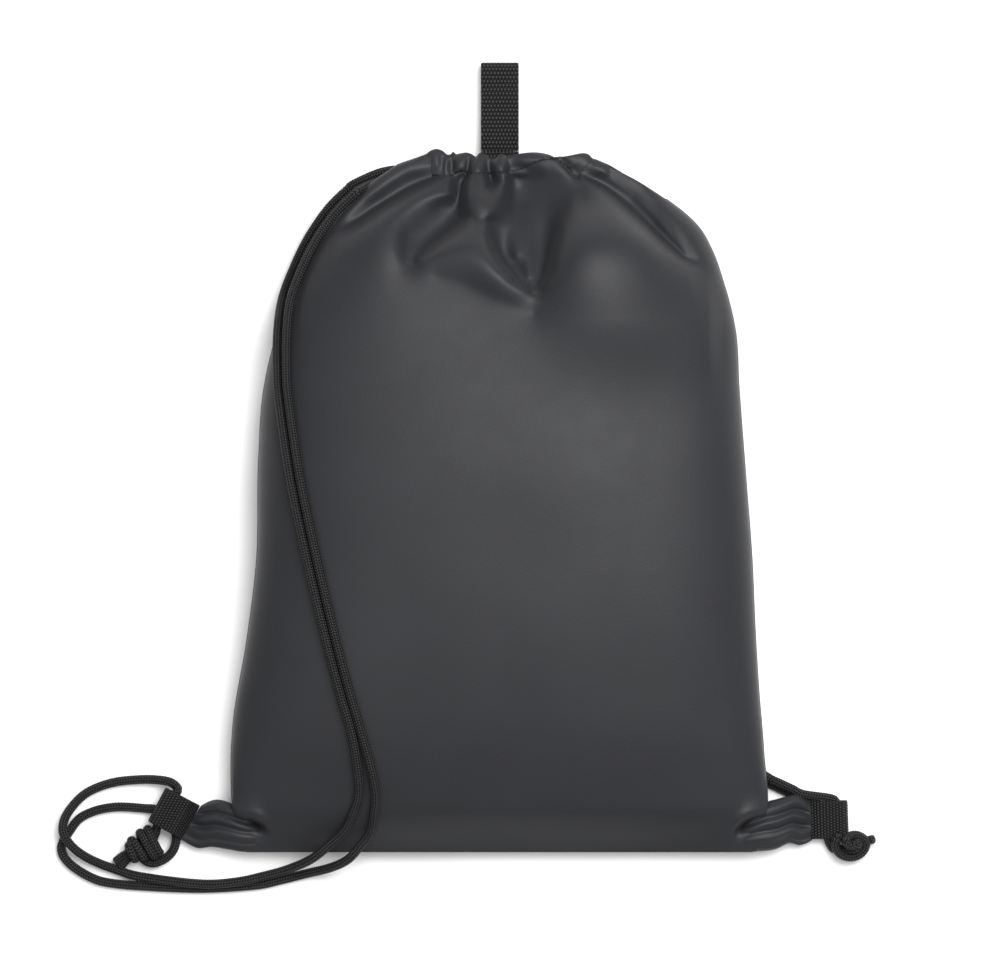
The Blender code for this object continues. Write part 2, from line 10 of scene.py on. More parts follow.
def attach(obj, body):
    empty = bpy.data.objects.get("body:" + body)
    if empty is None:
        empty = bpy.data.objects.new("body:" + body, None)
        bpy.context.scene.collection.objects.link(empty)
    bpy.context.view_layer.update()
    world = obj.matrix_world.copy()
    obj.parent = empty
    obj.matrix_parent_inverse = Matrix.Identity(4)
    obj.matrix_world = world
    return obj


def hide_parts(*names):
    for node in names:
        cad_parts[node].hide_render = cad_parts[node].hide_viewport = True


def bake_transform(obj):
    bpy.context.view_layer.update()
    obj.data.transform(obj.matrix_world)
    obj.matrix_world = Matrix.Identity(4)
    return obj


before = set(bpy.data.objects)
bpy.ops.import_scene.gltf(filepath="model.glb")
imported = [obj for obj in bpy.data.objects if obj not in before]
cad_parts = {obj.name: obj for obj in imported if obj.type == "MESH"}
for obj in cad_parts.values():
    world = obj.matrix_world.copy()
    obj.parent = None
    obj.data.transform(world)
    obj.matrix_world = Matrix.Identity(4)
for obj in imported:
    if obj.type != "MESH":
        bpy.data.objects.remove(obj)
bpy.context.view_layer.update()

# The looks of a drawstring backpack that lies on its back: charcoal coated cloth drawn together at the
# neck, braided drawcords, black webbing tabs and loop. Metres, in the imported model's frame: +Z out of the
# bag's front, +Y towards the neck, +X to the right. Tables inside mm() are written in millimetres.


def mm(table):
    """A table that is written in millimetres, in metres."""
    if isinstance(table, dict):
        return {name: mm(part) for name, part in table.items()}
    if isinstance(table, tuple):
        return tuple(mm(part) for part in table)
    return table / 1000


# -------- sizes shared with the CAD model
CLOTH = 0.0006
SEAM_HALF = 0.001
MOUTH = 0.005
BOTTOM_Y = -0.2612
FRONT_ROUND = 0.03
BACK_ROUND = 0.024
FRONT_POWER = 2.3
BACK_POWER = 2.0
HEM_LEFT = -0.06
HEM_RIGHT = 0.056
FRONT_HEM_Z = 0.0235
BACK_HEM_Z = 0.008
CORD = 0.006
LYING_GAP = 0.0002
CORD_Z = CORD / 2 + LYING_GAP
STRAND_Y = {"left": 0.1886, "right": 0.1948}
PAIR_OFFSET = 0.0031
START_GAP = 0.0016
WEBBING = 0.0015
WEBBING_WIDTH = 0.025
LOOP_HINGE = Vector((0.0016, 0.204, 0.0085))
TAB_Z = 0.006
LEFT_TAB = {"hinge": Vector((-0.2026, -0.2422, TAB_Z)), "heading": math.radians(152), "hand": -1}
RIGHT_TAB = {"hinge": Vector((0.2063, -0.2409, TAB_Z)), "heading": math.radians(2), "hand": 1}

# The bag's outline in plan, and the heights of its front, its seam and its back, as (y, value)
LEFT_EDGE = mm((
    (-261.2, -168), (-237.9, -174.1), (-212.9, -175.9), (-177.9, -174.6), (-121.1, -165.3), (-70, -159),
    (0, -157.4), (45, -154), (84.8, -144.5), (115.8, -133.5), (137, -122.8), (152.1, -112.5),
    (166.7, -99.5), (177, -88.5), (183.5, -80), (188.5, -72.5), (193, -65.5),
))
RIGHT_EDGE = mm((
    (-261.2, 171), (-237.9, 177.6), (-195, 175.9), (-154.8, 172.6), (-112.5, 170), (-68.3, 168),
    (-15.5, 164), (45.2, 159.4), (84.8, 156.8), (115.8, 149), (137, 141.4), (152.1, 132.5), (166.7, 116),
    (177, 100.5), (182.5, 91.5), (187, 83), (192.5, 74),
))
CREST = mm((
    (-261.2, 30), (-240, 40), (-220, 49), (-190, 61), (-150, 71.5), (-100, 79.5), (-50, 83.5), (0, 85),
    (50, 82.2), (90, 77), (120, 70), (140, 62.2), (155, 53), (170, 41), (183.5, 30), (192, 28.3), (205, 28),
))
SEAM = mm(((-261.2, 16), (-200, 20), (-100, 26), (50, 26), (120, 23), (183.5, 19), (205, 18)))
TROUGH = mm(((-261.2, -5), (100, -5), (140, -1), (165, 3), (205, 5)))

# -------- the neck
# The stitch line under the hem and the gathered top edge of the cloth, as (x, y)
STITCH_LINE = mm((
    (-74, 188.5), (-56, 187.2), (-44, 185), (-31.4, 185.5), (-24.1, 187.2), (-17.5, 186.8), (7.6, 187.8),
    (20.1, 191.2), (27, 195.2), (33, 196.8), (40, 195.5), (46, 190.5), (51.8, 184.5), (60, 184.2),
    (70, 185.8), (83, 187),
))
TOP_LINE = mm((
    (-66, 193), (-61, 194.8), (-56, 196.5), (-50, 198.7), (-46.9, 199.9), (-44.5, 201.8), (-39.8, 203.1),
    (-36.1, 201.8), (-33.2, 199.5), (-30.8, 199.7), (-29.2, 201.4), (-27.6, 199.8), (-24.7, 200.2),
    (-20, 200.7), (-16.7, 199.5), (-13.9, 198.1), (-12.5, 199.9), (-9.7, 200.2), (-6.8, 199), (-4.5, 196.6),
    (-0.7, 197.1), (1.2, 199), (4, 199.7), (6.4, 198.1), (8.7, 199), (14.4, 199.9), (19.1, 200.6),
    (23.8, 200.9), (29.5, 200.4), (35.1, 199), (38.9, 197.1), (41.7, 198.1), (44.6, 197.4), (48.3, 198.5),
    (53.1, 199.9), (56.8, 200.4), (60.6, 199.3), (62.7, 197.1), (65.3, 196.2), (71, 193.8), (74, 192.5),
))
TUNNEL_SHARES = (0.19, 0.8)
TOP_ROW = ((0.0, -0.066), (0.19, -0.0439), (0.5, 0.0105), (0.8, 0.0635), (1.0, 0.074))
NECK_START = 0.15

# The folds at and below the neck: crests and valleys as (x, y, height above the plain round shape)
FOLDS = mm({
    "v_floor": ((21.5, 169, -12), (20.5, 157, -13), (19.5, 144, -12.2), (19.5, 130, -10), (21, 118, -7)),
    "right_mouth": ((57, 194.5, 1.2), (64, 190.5, 2), (72, 186.5, 0.8)),
    "middle_face": ((-40, 118, 2.4), (-20, 112, 2.4), (0, 102, 2), (24, 94, 1.4)),
    "hem_crease_1": ((-36.1, 199.8, -2), (-36.2, 194, -2.6), (-35.6, 187.7, -1.4)),
    "hem_arch_1": ((-32.5, 197.5, 0.6), (-33.8, 193, 1.4), (-34.9, 188.6, 1)),
    "hem_pocket": ((-30, 196.5, -2), (-29.7, 193, -4.4), (-30, 188, -3)),
    "hem_arch_2": ((-27.5, 198.5, 0.4), (-26.8, 193, 1.2), (-27.6, 188.6, 0.8)),
    "hem_panel_edge": ((-21.2, 197.5, 0.6), (-20.9, 193, 1.2), (-21.4, 187.7, 0.8)),
    "hem_pleat_left": (
        (-15.8, 198.5, 1), (-16.7, 193.8, 1.8), (-18.1, 187.2, 2), (-20.5, 179, 2.4), (-20, 170, 2.8),
        (-17.5, 161, 2.4),
    ),
    "hem_pleat_front": ((-12.5, 199, 1), (-11.1, 191.9, 2.2), (-8.8, 184, 2.6), (-6.8, 179.7, 2)),
    "hem_pleat_behind": ((-6.2, 197.5, -2.8), (-5.2, 191, -5), (-4.4, 185.3, -5.6), (-4.5, 178.5, -4)),
    "hem_panel_2": ((-2.6, 196.2, 0.6), (-2.2, 191.5, 1.2), (-2.5, 186.7, 0.8)),
    "hem_pleat_right": ((3.6, 198.5, 1), (4.2, 192.9, 2.2), (5, 186.3, 2.4), (5.8, 180.6, 2)),
    "hem_crease_2": (
        (6.2, 197.2, -2.2), (6.9, 191, -2.8), (8, 183.5, -3.8), (9, 177.5, -8), (10, 170, -10.8),
        (11, 156, -12.2), (10.8, 144, -11.2), (12.5, 132, -10.2),
    ),
    "hem_smooth": ((16, 196, 0.4), (24, 194.5, 0.4), (30, 190, 1)),
    "hem_right_crest": ((38, 196.6, 1), (44, 190.5, 1.8), (50.5, 184, 2), (57, 176.5, 2)),
    "hem_right_crease": ((41.5, 197.2, -1.8), (46.6, 190.5, -3), (52, 184.5, -2.6)),
    "hem_right_crease_2": ((44, 197, 0.6), (49, 191.5, 0.6)),
    "hem_end_left": ((-45, 196, -0.6), (-43.2, 190, -1)),
    "hem_lobe": ((-40, 198.5, 1), (-39.5, 192, 1.2)),
    "lobe_deep": (
        (-19, 197, -2.2), (-19.2, 192, -3.6), (-20.3, 186.3, -4), (-23.5, 179, -5.5), (-25.5, 166.5, -10),
        (-23.5, 156.5, -8.5), (-32, 148, -8.5), (-44.5, 139, -6.5), (-56, 129, -3.5),
    ),
    "v_left_foot": (
        (-4.5, 154, -4.5), (-2.5, 143, -8), (0.5, 132.5, -9.5), (6, 124.5, -9), (14.5, 116, -7),
        (22, 111, -5),
    ),
    "v_right_foot": (
        (47.5, 171, -2), (41, 159.5, -6), (37, 145, -9), (34, 132.5, -9.2), (30, 118.5, -7.2),
        (26.2, 111.2, -5),
    ),
    "right_flap_floor": (
        (72, 184, -1.5), (90, 173, -4), (103, 159, -5), (113.5, 146, -4.5), (124.5, 133.5, -2),
    ),
    "right_flap_brow": (
        (74, 188, -1), (94.5, 178.5, -1), (109, 167, -0.5), (120, 152, 0), (129.5, 139, 0), (135.5, 130, 0),
    ),
    "shoulder_valley": (
        (-36.5, 186.5, -1), (-51.5, 181, -3), (-66, 173, -5), (-79, 164.5, -6), (-92.5, 156, -5),
        (-104, 149, -2),
    ),
    "right_flap_crest": (
        (55, 184, 1), (69.5, 174, 3), (84, 159.5, 5), (98.5, 146, 6), (109, 136, 5), (120, 128, 3),
        (127, 124, 1.5), (135.5, 122, 0),
    ),
    "right_flap_foot": (
        (59, 184.5, -1.5), (72.5, 176.5, -5), (88, 163, -8), (102, 149.7, -8.5), (113, 139.7, -6.5),
        (122.5, 131, -4), (129, 126.2, -1.5),
    ),
    "v_right_crest": (
        (56.5, 170, 1.5), (49.5, 165, 3), (43, 150.5, 4.5), (39.5, 136, 5), (35, 119.5, 4), (27, 107.5, 1),
    ),
    "v_left_crest": (
        (-8.5, 155, 1), (-7.5, 145, 2), (-4.5, 136, 3), (1.5, 126, 3.5), (11.5, 115, 3), (20.5, 109, 2),
    ),
    "finger_right_crest": ((6.5, 185.5, 1), (4, 181, 2), (0.5, 170, 2.5), (-5.5, 158, 2)),
    "lobe_crest": (
        (-32, 173, 1), (-42.5, 170, 2), (-53.5, 165.5, 3), (-62.5, 158.5, 4), (-67, 148.5, 4.5),
        (-66.5, 137.5, 4), (-63.5, 128.5, 2.5), (-60, 124, 1),
    ),
    "lobe_lower_crest": ((-51.5, 129, 2), (-39, 137.5, 3), (-26.5, 146, 3), (-14.5, 154.5, 1.5)),
    "lobe_floor": ((-37, 165, -6), (-51.5, 156, -3), (-60.5, 145, -2), (-61, 134, -2)),
    "tongue": ((-31.5, 184, 1), (-32.5, 178.5, 1.5), (-34, 174.5, 1)),
    "shoulder_crest": (
        (-32, 185.5, 0.5), (-42.5, 178.5, 2), (-57, 170, 3), (-73.5, 160.5, 3.5), (-86, 152, 3.5),
        (-100.5, 141.5, 2), (-115, 133, 0),
    ),
    "shoulder_brow": (
        (-44.5, 192, 1), (-60.5, 187, 2), (-75, 178.5, 2.5), (-89.5, 169, 2), (-101.5, 158.5, 1),
    ),
})
FOLD_ZONE = mm(((-135, 10), (150, 212)))
FOLD_FADE = 0.09
FOLD_GRID = 0.0006
FOLD_SOFTNESS = 0.0007
FOLD_STEP = 0.003
FOLD_EASE = 0.0003
FOLD_GAIN = 1.3

# -------- the drawcords' routes, as in the CAD model
# Where the left cord's strands leave the bag's mouth, under the front's edge
LEFT_MOUTH = mm({"inner": ((-69, 189.3), (-80, 186.8)), "outer": ((-68, 186.8), (-78.5, 182.2))})
MOUTH_Z = mm({"inner": 15, "outer": 16.5})
LEFT_PAIR = mm((
    (-79, 185), (-93.5, 177.5), (-108.6, 163), (-122.5, 143), (-132.8, 121.5), (-139.2, 102.6),
    (-141.6, 79.5), (-141.6, 55.8), (-140.3, 37.3), (-133, -12.2), (-122.4, -63.7), (-110.5, -114.5),
    (-101, -151.5), (-93, -179.9),
))
# Each point's third number is how far the cord lies above the bag or the floor there
LEFT_TAILS = mm({
    "inner": (
        (-92.1, -203.6, 0), (-90.8, -221.4, 0), (-94.1, -233.3, 0), (-100, -245.9, 0), (-110.6, -255.8, 1),
        (-123.1, -266, 12), (-139.6, -273.5, 4), (-155.4, -277.9, 4), (-172.6, -281.5, 6),
        (-196.4, -282.8, 6), (-236, -278.2, 3), (-252.5, -273.6, 0), (-269, -267, 2), (-280.2, -259.4, 6),
        (-286.8, -250.5, 8), (-287.4, -243.2, 6), (-284.1, -235.3, 2), (-275.6, -225.4, 0),
        (-265.7, -219.5, 0), (-252.5, -215.5, 0), (-236.3, -213.9, 1), (-225.4, -214, 3), (-217, -215.3, 6),
        (-212.8, -218, 7),
    ),
    "outer": (
        (-83.5, -203.6, 0), (-80.2, -221.4, 0), (-80.9, -233.3, 0), (-83.5, -247.2, 0), (-90.1, -256.4, 1),
        (-98.7, -266, 12), (-110.6, -272, 7), (-125.7, -276, 0), (-143.6, -280.5, 0), (-160.7, -284, 0),
        (-196.4, -286.1, 0), (-236.3, -284.5, 0), (-258.4, -282.2, 0), (-269, -278.9, 0),
        (-280.2, -272.3, 0), (-286.8, -265.7, 0), (-288.8, -260.4, 0), (-288, -255.8, 0), (-284, -249, 0),
        (-277.1, -240, 0), (-267.4, -235, 0), (-256.4, -232.5, 0), (-246.7, -232.1, 0), (-233, -233.1, 0),
    ),
})
RIGHT_LEAD = mm(((0, -1.2), (4, -3.2)))
RIGHT_FALLS = mm({"outer": (13, 8.5, 5, 2), "inner": (3.5, 2, 1)})
RIGHT_ROUTE = mm((
    (67, 186.5), (74.5, 179), (84, 170), (96, 160), (111, 145.5), (122.5, 132), (133.5, 114), (142.5, 88),
    (148.5, 55), (153, 5), (157.5, -50), (159, -112.5), (160, -154.8), (163, -190),
))
# Beyond the bag's edge the outer strand lies partly on the inner one
RIGHT_END = mm(((169, -206), (177.9, -213.5), (186, -217.5), (194.4, -221.4), (202, -225)))
RIGHT_END_OFFSET = 0.0015
RIGHT_STACK = {"inner": 0.0, "outer": 0.0052}
# Where each cord turns back at the far end of the tunnels, and the height of its upper run
TUNNEL_LEFT = -0.04
TUNNEL_RIGHT = 0.048
TUNNEL_CORD_Z = 0.0205
# How often a cord's heights are evened out: over the hollows under it, then over its own lifts
BRIDGING = 20
LIFT_EASING = 6
# How much of each strand, at its tab, is made as a piece of its own
FLEXIBLE_END = mm({"left_inner": 50, "left_outer": 42, "right_inner": 40, "right_outer": 50})

# The braid: columns of slanted plaits round the cord
BRAID_COLUMNS = 10
BRAID_PITCH = 0.0018
BRAID_SLANT = 0.75
BRAID_RELIEF = 0.00032


# ======== small helpers
def through(knots, at):
    """Values of a smooth curve through (place, value) knots, at an array of places."""
    places = np.array([k[0] for k in knots], float)
    values = np.array([k[1] for k in knots], float)
    slopes = np.gradient(values, places)
    at = np.clip(np.asarray(at, float), places[0], places[-1])
    i = np.clip(np.searchsorted(places, at) - 1, 0, len(places) - 2)
    span = places[i + 1] - places[i]
    t = (at - places[i]) / span
    start = (1 + 2 * t) * (1 - t) ** 2 * values[i] + t * (1 - t) ** 2 * span * slopes[i]
    end = t * t * (3 - 2 * t) * values[i + 1] + t * t * (t - 1) * span * slopes[i + 1]
    return start + end


def smoothstep(low, high, value):
    t = np.clip((value - low) / (high - low), 0, 1)
    return t * t * (3 - 2 * t)


def dome(share, power):
    """The height of a superellipse, 1 in the middle (share 0) and 0 at the edge (share 1)."""
    return np.maximum(0, 1 - np.minimum(np.abs(share), 1) ** power) ** (1 / power)


def smooth_route(points, spacing):
    """Points along a Catmull-Rom curve through the route, evenly spaced."""
    p = np.array(points, float)
    p = np.vstack([2 * p[0] - p[1], p, 2 * p[-1] - p[-2]])
    fine = []
    for i in range(1, len(p) - 2):
        for t in np.linspace(0, 1, 16, endpoint=False):
            a = 2 * p[i]
            b = (p[i + 1] - p[i - 1]) * t
            c = (2 * p[i - 1] - 5 * p[i] + 4 * p[i + 1] - p[i + 2]) * t * t
            d = (3 * p[i] - p[i - 1] - 3 * p[i + 1] + p[i + 2]) * t ** 3
            fine.append(0.5 * (a + b + c + d))
    fine.append(p[-2])
    return evenly(np.array(fine), spacing)


def evenly(points, spacing):
    walked = lengths_along(points)
    count = max(2, int(round(walked[-1] / spacing)) + 1)
    at = np.linspace(0, walked[-1], count)
    return np.column_stack([np.interp(at, walked, points[:, k]) for k in range(points.shape[1])])


def lengths_along(points):
    steps = np.linalg.norm(np.diff(points[:, :3], axis=0), axis=1)
    return np.concatenate([[0], np.cumsum(steps)])


def beside(route, offset):
    """A route moved sideways in plan, to its right for a positive offset."""
    moved = []
    for i, (x, y) in enumerate(route):
        before = route[max(i - 1, 0)]
        after = route[min(i + 1, len(route) - 1)]
        along = Vector((after[0] - before[0], after[1] - before[1])).normalized()
        moved.append((x + along.y * offset, y - along.x * offset))
    return moved


def outwards(tab):
    return Vector((math.cos(tab["heading"]), math.sin(tab["heading"]), 0))


def in_tab(tab, s, w, z=0.0):
    """A point s out along a tab from its hinge, w across it towards the bag's neck and z up."""
    out = outwards(tab)
    side = Vector((-out.y, out.x, 0)) * tab["hand"]
    return tab["hinge"] + out * s + side * w + Vector((0, 0, z))


def mesh_piece(name, verts, faces, made_of, uvs=None):
    """A smooth-shaded mesh object. uvs holds one (u, v) for each face corner."""
    mesh = bpy.data.meshes.new(name)
    mesh.from_pydata([tuple(v) for v in verts], [], [tuple(int(i) for i in f) for f in faces])
    if uvs is not None:
        layer = mesh.uv_layers.new(name="lay")
        layer.data.foreach_set("uv", np.asarray(uvs, np.float32).ravel())
    mesh.validate()
    mesh.shade_smooth()
    piece = bpy.data.objects.new(name, mesh)
    bpy.context.scene.collection.objects.link(piece)
    mesh.materials.append(made_of)
    return piece


def grid_faces(rows, columns, wrap=False):
    """Quads of a grid of vertices; wrap joins the last column to the first."""
    r, c = np.meshgrid(np.arange(rows - 1), np.arange(columns if wrap else columns - 1), indexing="ij")
    low, high = r.ravel() * columns, (r.ravel() + 1) * columns
    before, after = c.ravel(), (c.ravel() + 1) % columns
    return np.column_stack([low + before, low + after, high + after, high + before])


def ring_ends(rings, sides):
    """The faces that close a tube at its first and last ring."""
    last = (rings - 1) * sides
    return [tuple(range(sides)), tuple(last + i for i in range(sides))[::-1]]


def corner_uvs(faces, columns, u, before, after):
    """(u, v) of each corner of a grid's quads, from each row's u and the v before and after each column."""
    row, column = faces[:, 0] // columns, faces[:, 0] % columns
    return np.stack([
        np.column_stack([u[row], before[column]]), np.column_stack([u[row], after[column]]),
        np.column_stack([u[row + 1], after[column]]), np.column_stack([u[row + 1], before[column]]),
    ], axis=1)


def ray_trees(pieces):
    """What rays are cast at: a tree for each piece."""
    trees = []
    for piece in pieces:
        corners = [v.co for v in piece.data.vertices]
        trees.append(BVHTree.FromPolygons(corners, [f.vertices for f in piece.data.polygons]))
    return trees


def settle(piece, body, replaced=None):
    """Puts a piece on the body it rides on, and hides the CAD solid that it stands for, if one is given."""
    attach(piece, body)
    if replaced is not None:
        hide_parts(replaced)
    return piece


def apply_modifiers(piece):
    """Bakes the piece's modifiers into its mesh."""
    evaluated = piece.evaluated_get(bpy.context.evaluated_depsgraph_get())
    mesh = bpy.data.meshes.new_from_object(evaluated)
    old = piece.data
    piece.modifiers.clear()
    piece.data = mesh
    bpy.data.meshes.remove(old)
    return piece


def thicken(piece):
    shell = piece.modifiers.new("cloth", "SOLIDIFY")
    shell.thickness = CLOTH
    shell.offset = -1
    return apply_modifiers(piece)


# ======== materials
def new_material(name, colour, roughness, sheen=0.0, shine=0.5):
    made = bpy.data.materials.new(name)
    made.use_nodes = True
    shader = made.node_tree.nodes["Principled BSDF"]
    shader.inputs["Base Color"].default_value = (*colour, 1)
    shader.inputs["Roughness"].default_value = roughness
    shader.inputs["Specular IOR Level"].default_value = shine
    shader.inputs["Sheen Weight"].default_value = sheen
    shader.inputs["Sheen Roughness"].default_value = 0.45
    return made, made.node_tree, shader


def node(tree, kind, **settings):
    made = tree.nodes.new(kind)
    for key, value in settings.items():
        setattr(made, key, value)
    return made


def maths(tree, operation, *values):
    """A Math node; each value is a number or a socket."""
    made = node(tree, "ShaderNodeMath", operation=operation)
    for socket, value in zip(made.inputs, values):
        if isinstance(value, (int, float)):
            socket.default_value = value
        else:
            tree.links.new(value, socket)
    return made.outputs[0]


def noise_at(tree, scale, detail=2.0, roughness=0.5, stretch=(1, 1, 1)):
    """Noise in the object's own coordinates, in blobs of about 1 / scale metres."""
    place = node(tree, "ShaderNodeTexCoord")
    mapping = node(tree, "ShaderNodeMapping")
    mapping.inputs["Scale"].default_value = stretch
    tree.links.new(place.outputs["Object"], mapping.inputs["Vector"])
    made = node(tree, "ShaderNodeTexNoise")
    made.inputs["Scale"].default_value = scale
    made.inputs["Detail"].default_value = detail
    made.inputs["Roughness"].default_value = roughness
    tree.links.new(mapping.outputs["Vector"], made.inputs["Vector"])
    return made.outputs["Fac"]


def ramp(tree, value, stops):
    """A colour that follows a value between (place, colour) stops."""
    made = node(tree, "ShaderNodeValToRGB")
    elements = made.color_ramp.elements
    while len(elements) < len(stops):
        elements.new(0.5)
    for element, (place, colour) in zip(elements, stops):
        element.position = place
        element.color = (*colour, 1)
    tree.links.new(value, made.inputs["Fac"])
    return made.outputs["Color"]


def bump(tree, shader, height, distance, strength=1.0):
    made = node(tree, "ShaderNodeBump")
    made.inputs["Distance"].default_value = distance
    made.inputs["Strength"].default_value = strength
    tree.links.new(height, made.inputs["Height"])
    tree.links.new(made.outputs["Normal"], shader.inputs["Normal"])


def shades(colour, spread):
    """Ramp stops from a little darker than a colour to a little lighter."""
    low = tuple(c * (1 - spread) for c in colour)
    high = tuple(min(c * (1 + spread), 1.0) for c in colour)
    return (0.3, low), (0.7, high)


def cloth_material(name, colour, roughness):
    """Coated polyester: a fine even grain, a satin sheen and faint cloudiness."""
    made, tree, shader = new_material(name, colour, roughness, sheen=0.03, shine=0.25)
    clouds = noise_at(tree, 14, 3.0)
    tree.links.new(ramp(tree, clouds, shades(colour, 0.07)), shader.inputs["Base Color"])
    across = noise_at(tree, 1500, 1.0, 0.4, (1, 0.35, 1))
    along = noise_at(tree, 1500, 1.0, 0.4, (0.35, 1, 1))
    worn = noise_at(tree, 60, 4.0)
    rough = maths(tree, "MULTIPLY_ADD", worn, 0.1, roughness - 0.05)
    tree.links.new(rough, shader.inputs["Roughness"])
    bump(tree, shader, maths(tree, "ADD", across, along), 0.0001, 0.55)
    return made


def lay_uv(tree):
    """The two coordinates of a piece's own layout: along it, and across or round it."""
    place = node(tree, "ShaderNodeUVMap", uv_map="lay")
    split = node(tree, "ShaderNodeSeparateXYZ")
    tree.links.new(place.outputs["UV"], split.inputs["Vector"])
    return split.outputs["X"], split.outputs["Y"]


def rounded_float(tree, place):
    """The height of one float of the weave along one direction: 1 in its middle, 0 where it dips under."""
    from_middle = maths(tree, "SUBTRACT", maths(tree, "FRACT", place), 0.5)
    squared = maths(tree, "MULTIPLY", from_middle, from_middle)
    height = maths(tree, "SUBTRACT", 1.0, maths(tree, "MULTIPLY", squared, 4.6))
    return maths(tree, "MAXIMUM", height, 0.0)


def paint_weave_shade_and_highlight(tree, shader, height, fibres, stops):
    """Paints shade into the hollows of a weave and a painted highlight onto its crests, which the fibres
    vary.
    """
    painted_light = maths(tree, "MULTIPLY", height, fibres)
    tree.links.new(ramp(tree, painted_light, stops), shader.inputs["Base Color"])


def braid_material():
    """Braided polyester cord: columns of plaits that slant to and fro, with fine yarns along each."""
    made, tree, shader = new_material("braided_cord", (0.009, 0.009, 0.01), 0.5, shine=0.15)
    along, round_it = lay_uv(tree)
    column = maths(tree, "FLOOR", round_it)
    side = maths(tree, "SUBTRACT", maths(tree, "SUBTRACT", round_it, column), 0.5)
    turn = maths(tree, "MULTIPLY_ADD", maths(tree, "MODULO", column, 2.0), 2.0, -1.0)
    slanted = maths(tree, "MULTIPLY_ADD", maths(tree, "MULTIPLY", side, turn), BRAID_SLANT, along)
    plait = maths(tree, "MULTIPLY", maths(tree, "SUBTRACT", maths(tree, "FRACT", slanted), 0.5), 2.0)
    hump = maths(tree, "SUBTRACT", 1.0, maths(tree, "MULTIPLY", plait, plait))
    edge = maths(tree, "MULTIPLY", maths(tree, "MULTIPLY", side, side), 3.2)
    height = maths(tree, "MULTIPLY", hump, maths(tree, "SUBTRACT", 1.0, edge))
    yarns = maths(tree, "SINE", maths(tree, "MULTIPLY", maths(tree, "ADD", round_it, slanted), 22.0))
    fibres = maths(tree, "MULTIPLY_ADD", noise_at(tree, 900), 0.7, 0.6)
    # Painted shade and highlight: the ramp darkens the plaits' hollows nearly to black and lightens their
    # crests
    paint_weave_shade_and_highlight(tree, shader, height, fibres, ((0.35, (0.0007, 0.0007, 0.0008)), (0.85, (0.038, 0.038, 0.04))))
    bump(tree, shader, maths(tree, "MULTIPLY_ADD", yarns, 0.06, height), 0.0005, 0.9)
    return made


def webbing_material():
    """Plain-woven polypropylene webbing: rows of short floats, each row offset by half."""
    made, tree, shader = new_material("woven_webbing", (0.009, 0.009, 0.01), 0.45, shine=0.16)
    along, across = lay_uv(tree)
    row = maths(tree, "FLOOR", along)
    shifted = maths(tree, "MULTIPLY_ADD", maths(tree, "MODULO", row, 2.0), 0.5, across)
    height = maths(tree, "MULTIPLY", rounded_float(tree, along), rounded_float(tree, shifted))
    fibres = maths(tree, "MULTIPLY_ADD", noise_at(tree, 1200), 0.6, 0.7)
    # Painted shade and highlight: the ramp darkens the hollows between floats nearly to black and lightens
    # their crests
    paint_weave_shade_and_highlight(tree, shader, height, fibres, ((0.35, (0.0008, 0.0008, 0.0009)), (0.95, (0.036, 0.036, 0.038))))
    bump(tree, shader, height, 0.0005, 0.9)
    return made


def plain_material(name, colour, roughness, grain, depth):
    """A matt material with a little grain."""
    made, tree, shader = new_material(name, colour, roughness)
    speckle = noise_at(tree, grain, 3.0)
    tree.links.new(ramp(tree, speckle, shades(colour, 0.15)), shader.inputs["Base Color"])
    bump(tree, shader, speckle, depth, 0.6)
    return made


CHARCOAL = (0.0157, 0.0162, 0.019)
CLOTH_ROUGHNESS = 0.52
MATERIALS = {
    "bag_fabric": cloth_material("bag_cloth", CHARCOAL, CLOTH_ROUGHNESS),
    "hem_fabric": cloth_material("hem_cloth", CHARCOAL, CLOTH_ROUGHNESS),
    "cord": braid_material(),
    "webbing": webbing_material(),
    "thread": plain_material("sewing_thread", (0.016, 0.016, 0.017), 0.5, 2500, 0.0001),
    "seam_tape": plain_material("seam_tape", (0.02, 0.02, 0.021), 0.6, 1800, 0.0001),
}


# ======== the camera, the light and the floor
VIEW_CENTRE = Vector((0.0017, -0.0139, 0.025))
VIEW_WIDTH = 0.66
CAMERA_DISTANCE = 6.0


def camera():
    """A long lens straight above the bag."""
    data = bpy.data.cameras.new("camera")
    data.sensor_width = 36.0
    data.lens = data.sensor_width * CAMERA_DISTANCE / VIEW_WIDTH
    data.clip_end = 50.0
    made = bpy.data.objects.new("camera", data)
    made.location = VIEW_CENTRE + Vector((0, 0, CAMERA_DISTANCE))
    bpy.context.scene.collection.objects.link(made)
    bpy.context.scene.camera = made


def area_light(name, place, aim, size, power):
    data = bpy.data.lights.new(name, "AREA")
    data.size = size
    data.energy = power
    made = bpy.data.objects.new(name, data)
    made.location = place
    made.rotation_euler = (Vector(aim) - Vector(place)).to_track_quat("-Z", "Y").to_euler()
    bpy.context.scene.collection.objects.link(made)


# The room's brightness by how high one looks: (height, grey)
ROOM_GREYS = ((0.0, 0.12), (0.55, 0.38), (1.0, 0.95))
ROOM_STRENGTH = 1.3
KEY_PLACE = (0.66, 0.78, 2.35)
KEY_AIM = (0.0, 0.0, 0.03)
KEY_SIZE = 1.8
KEY_POWER = 92.0
FLOOR_HALF = 9.0
FLOOR_GREY = (0.86, 0.86, 0.86)


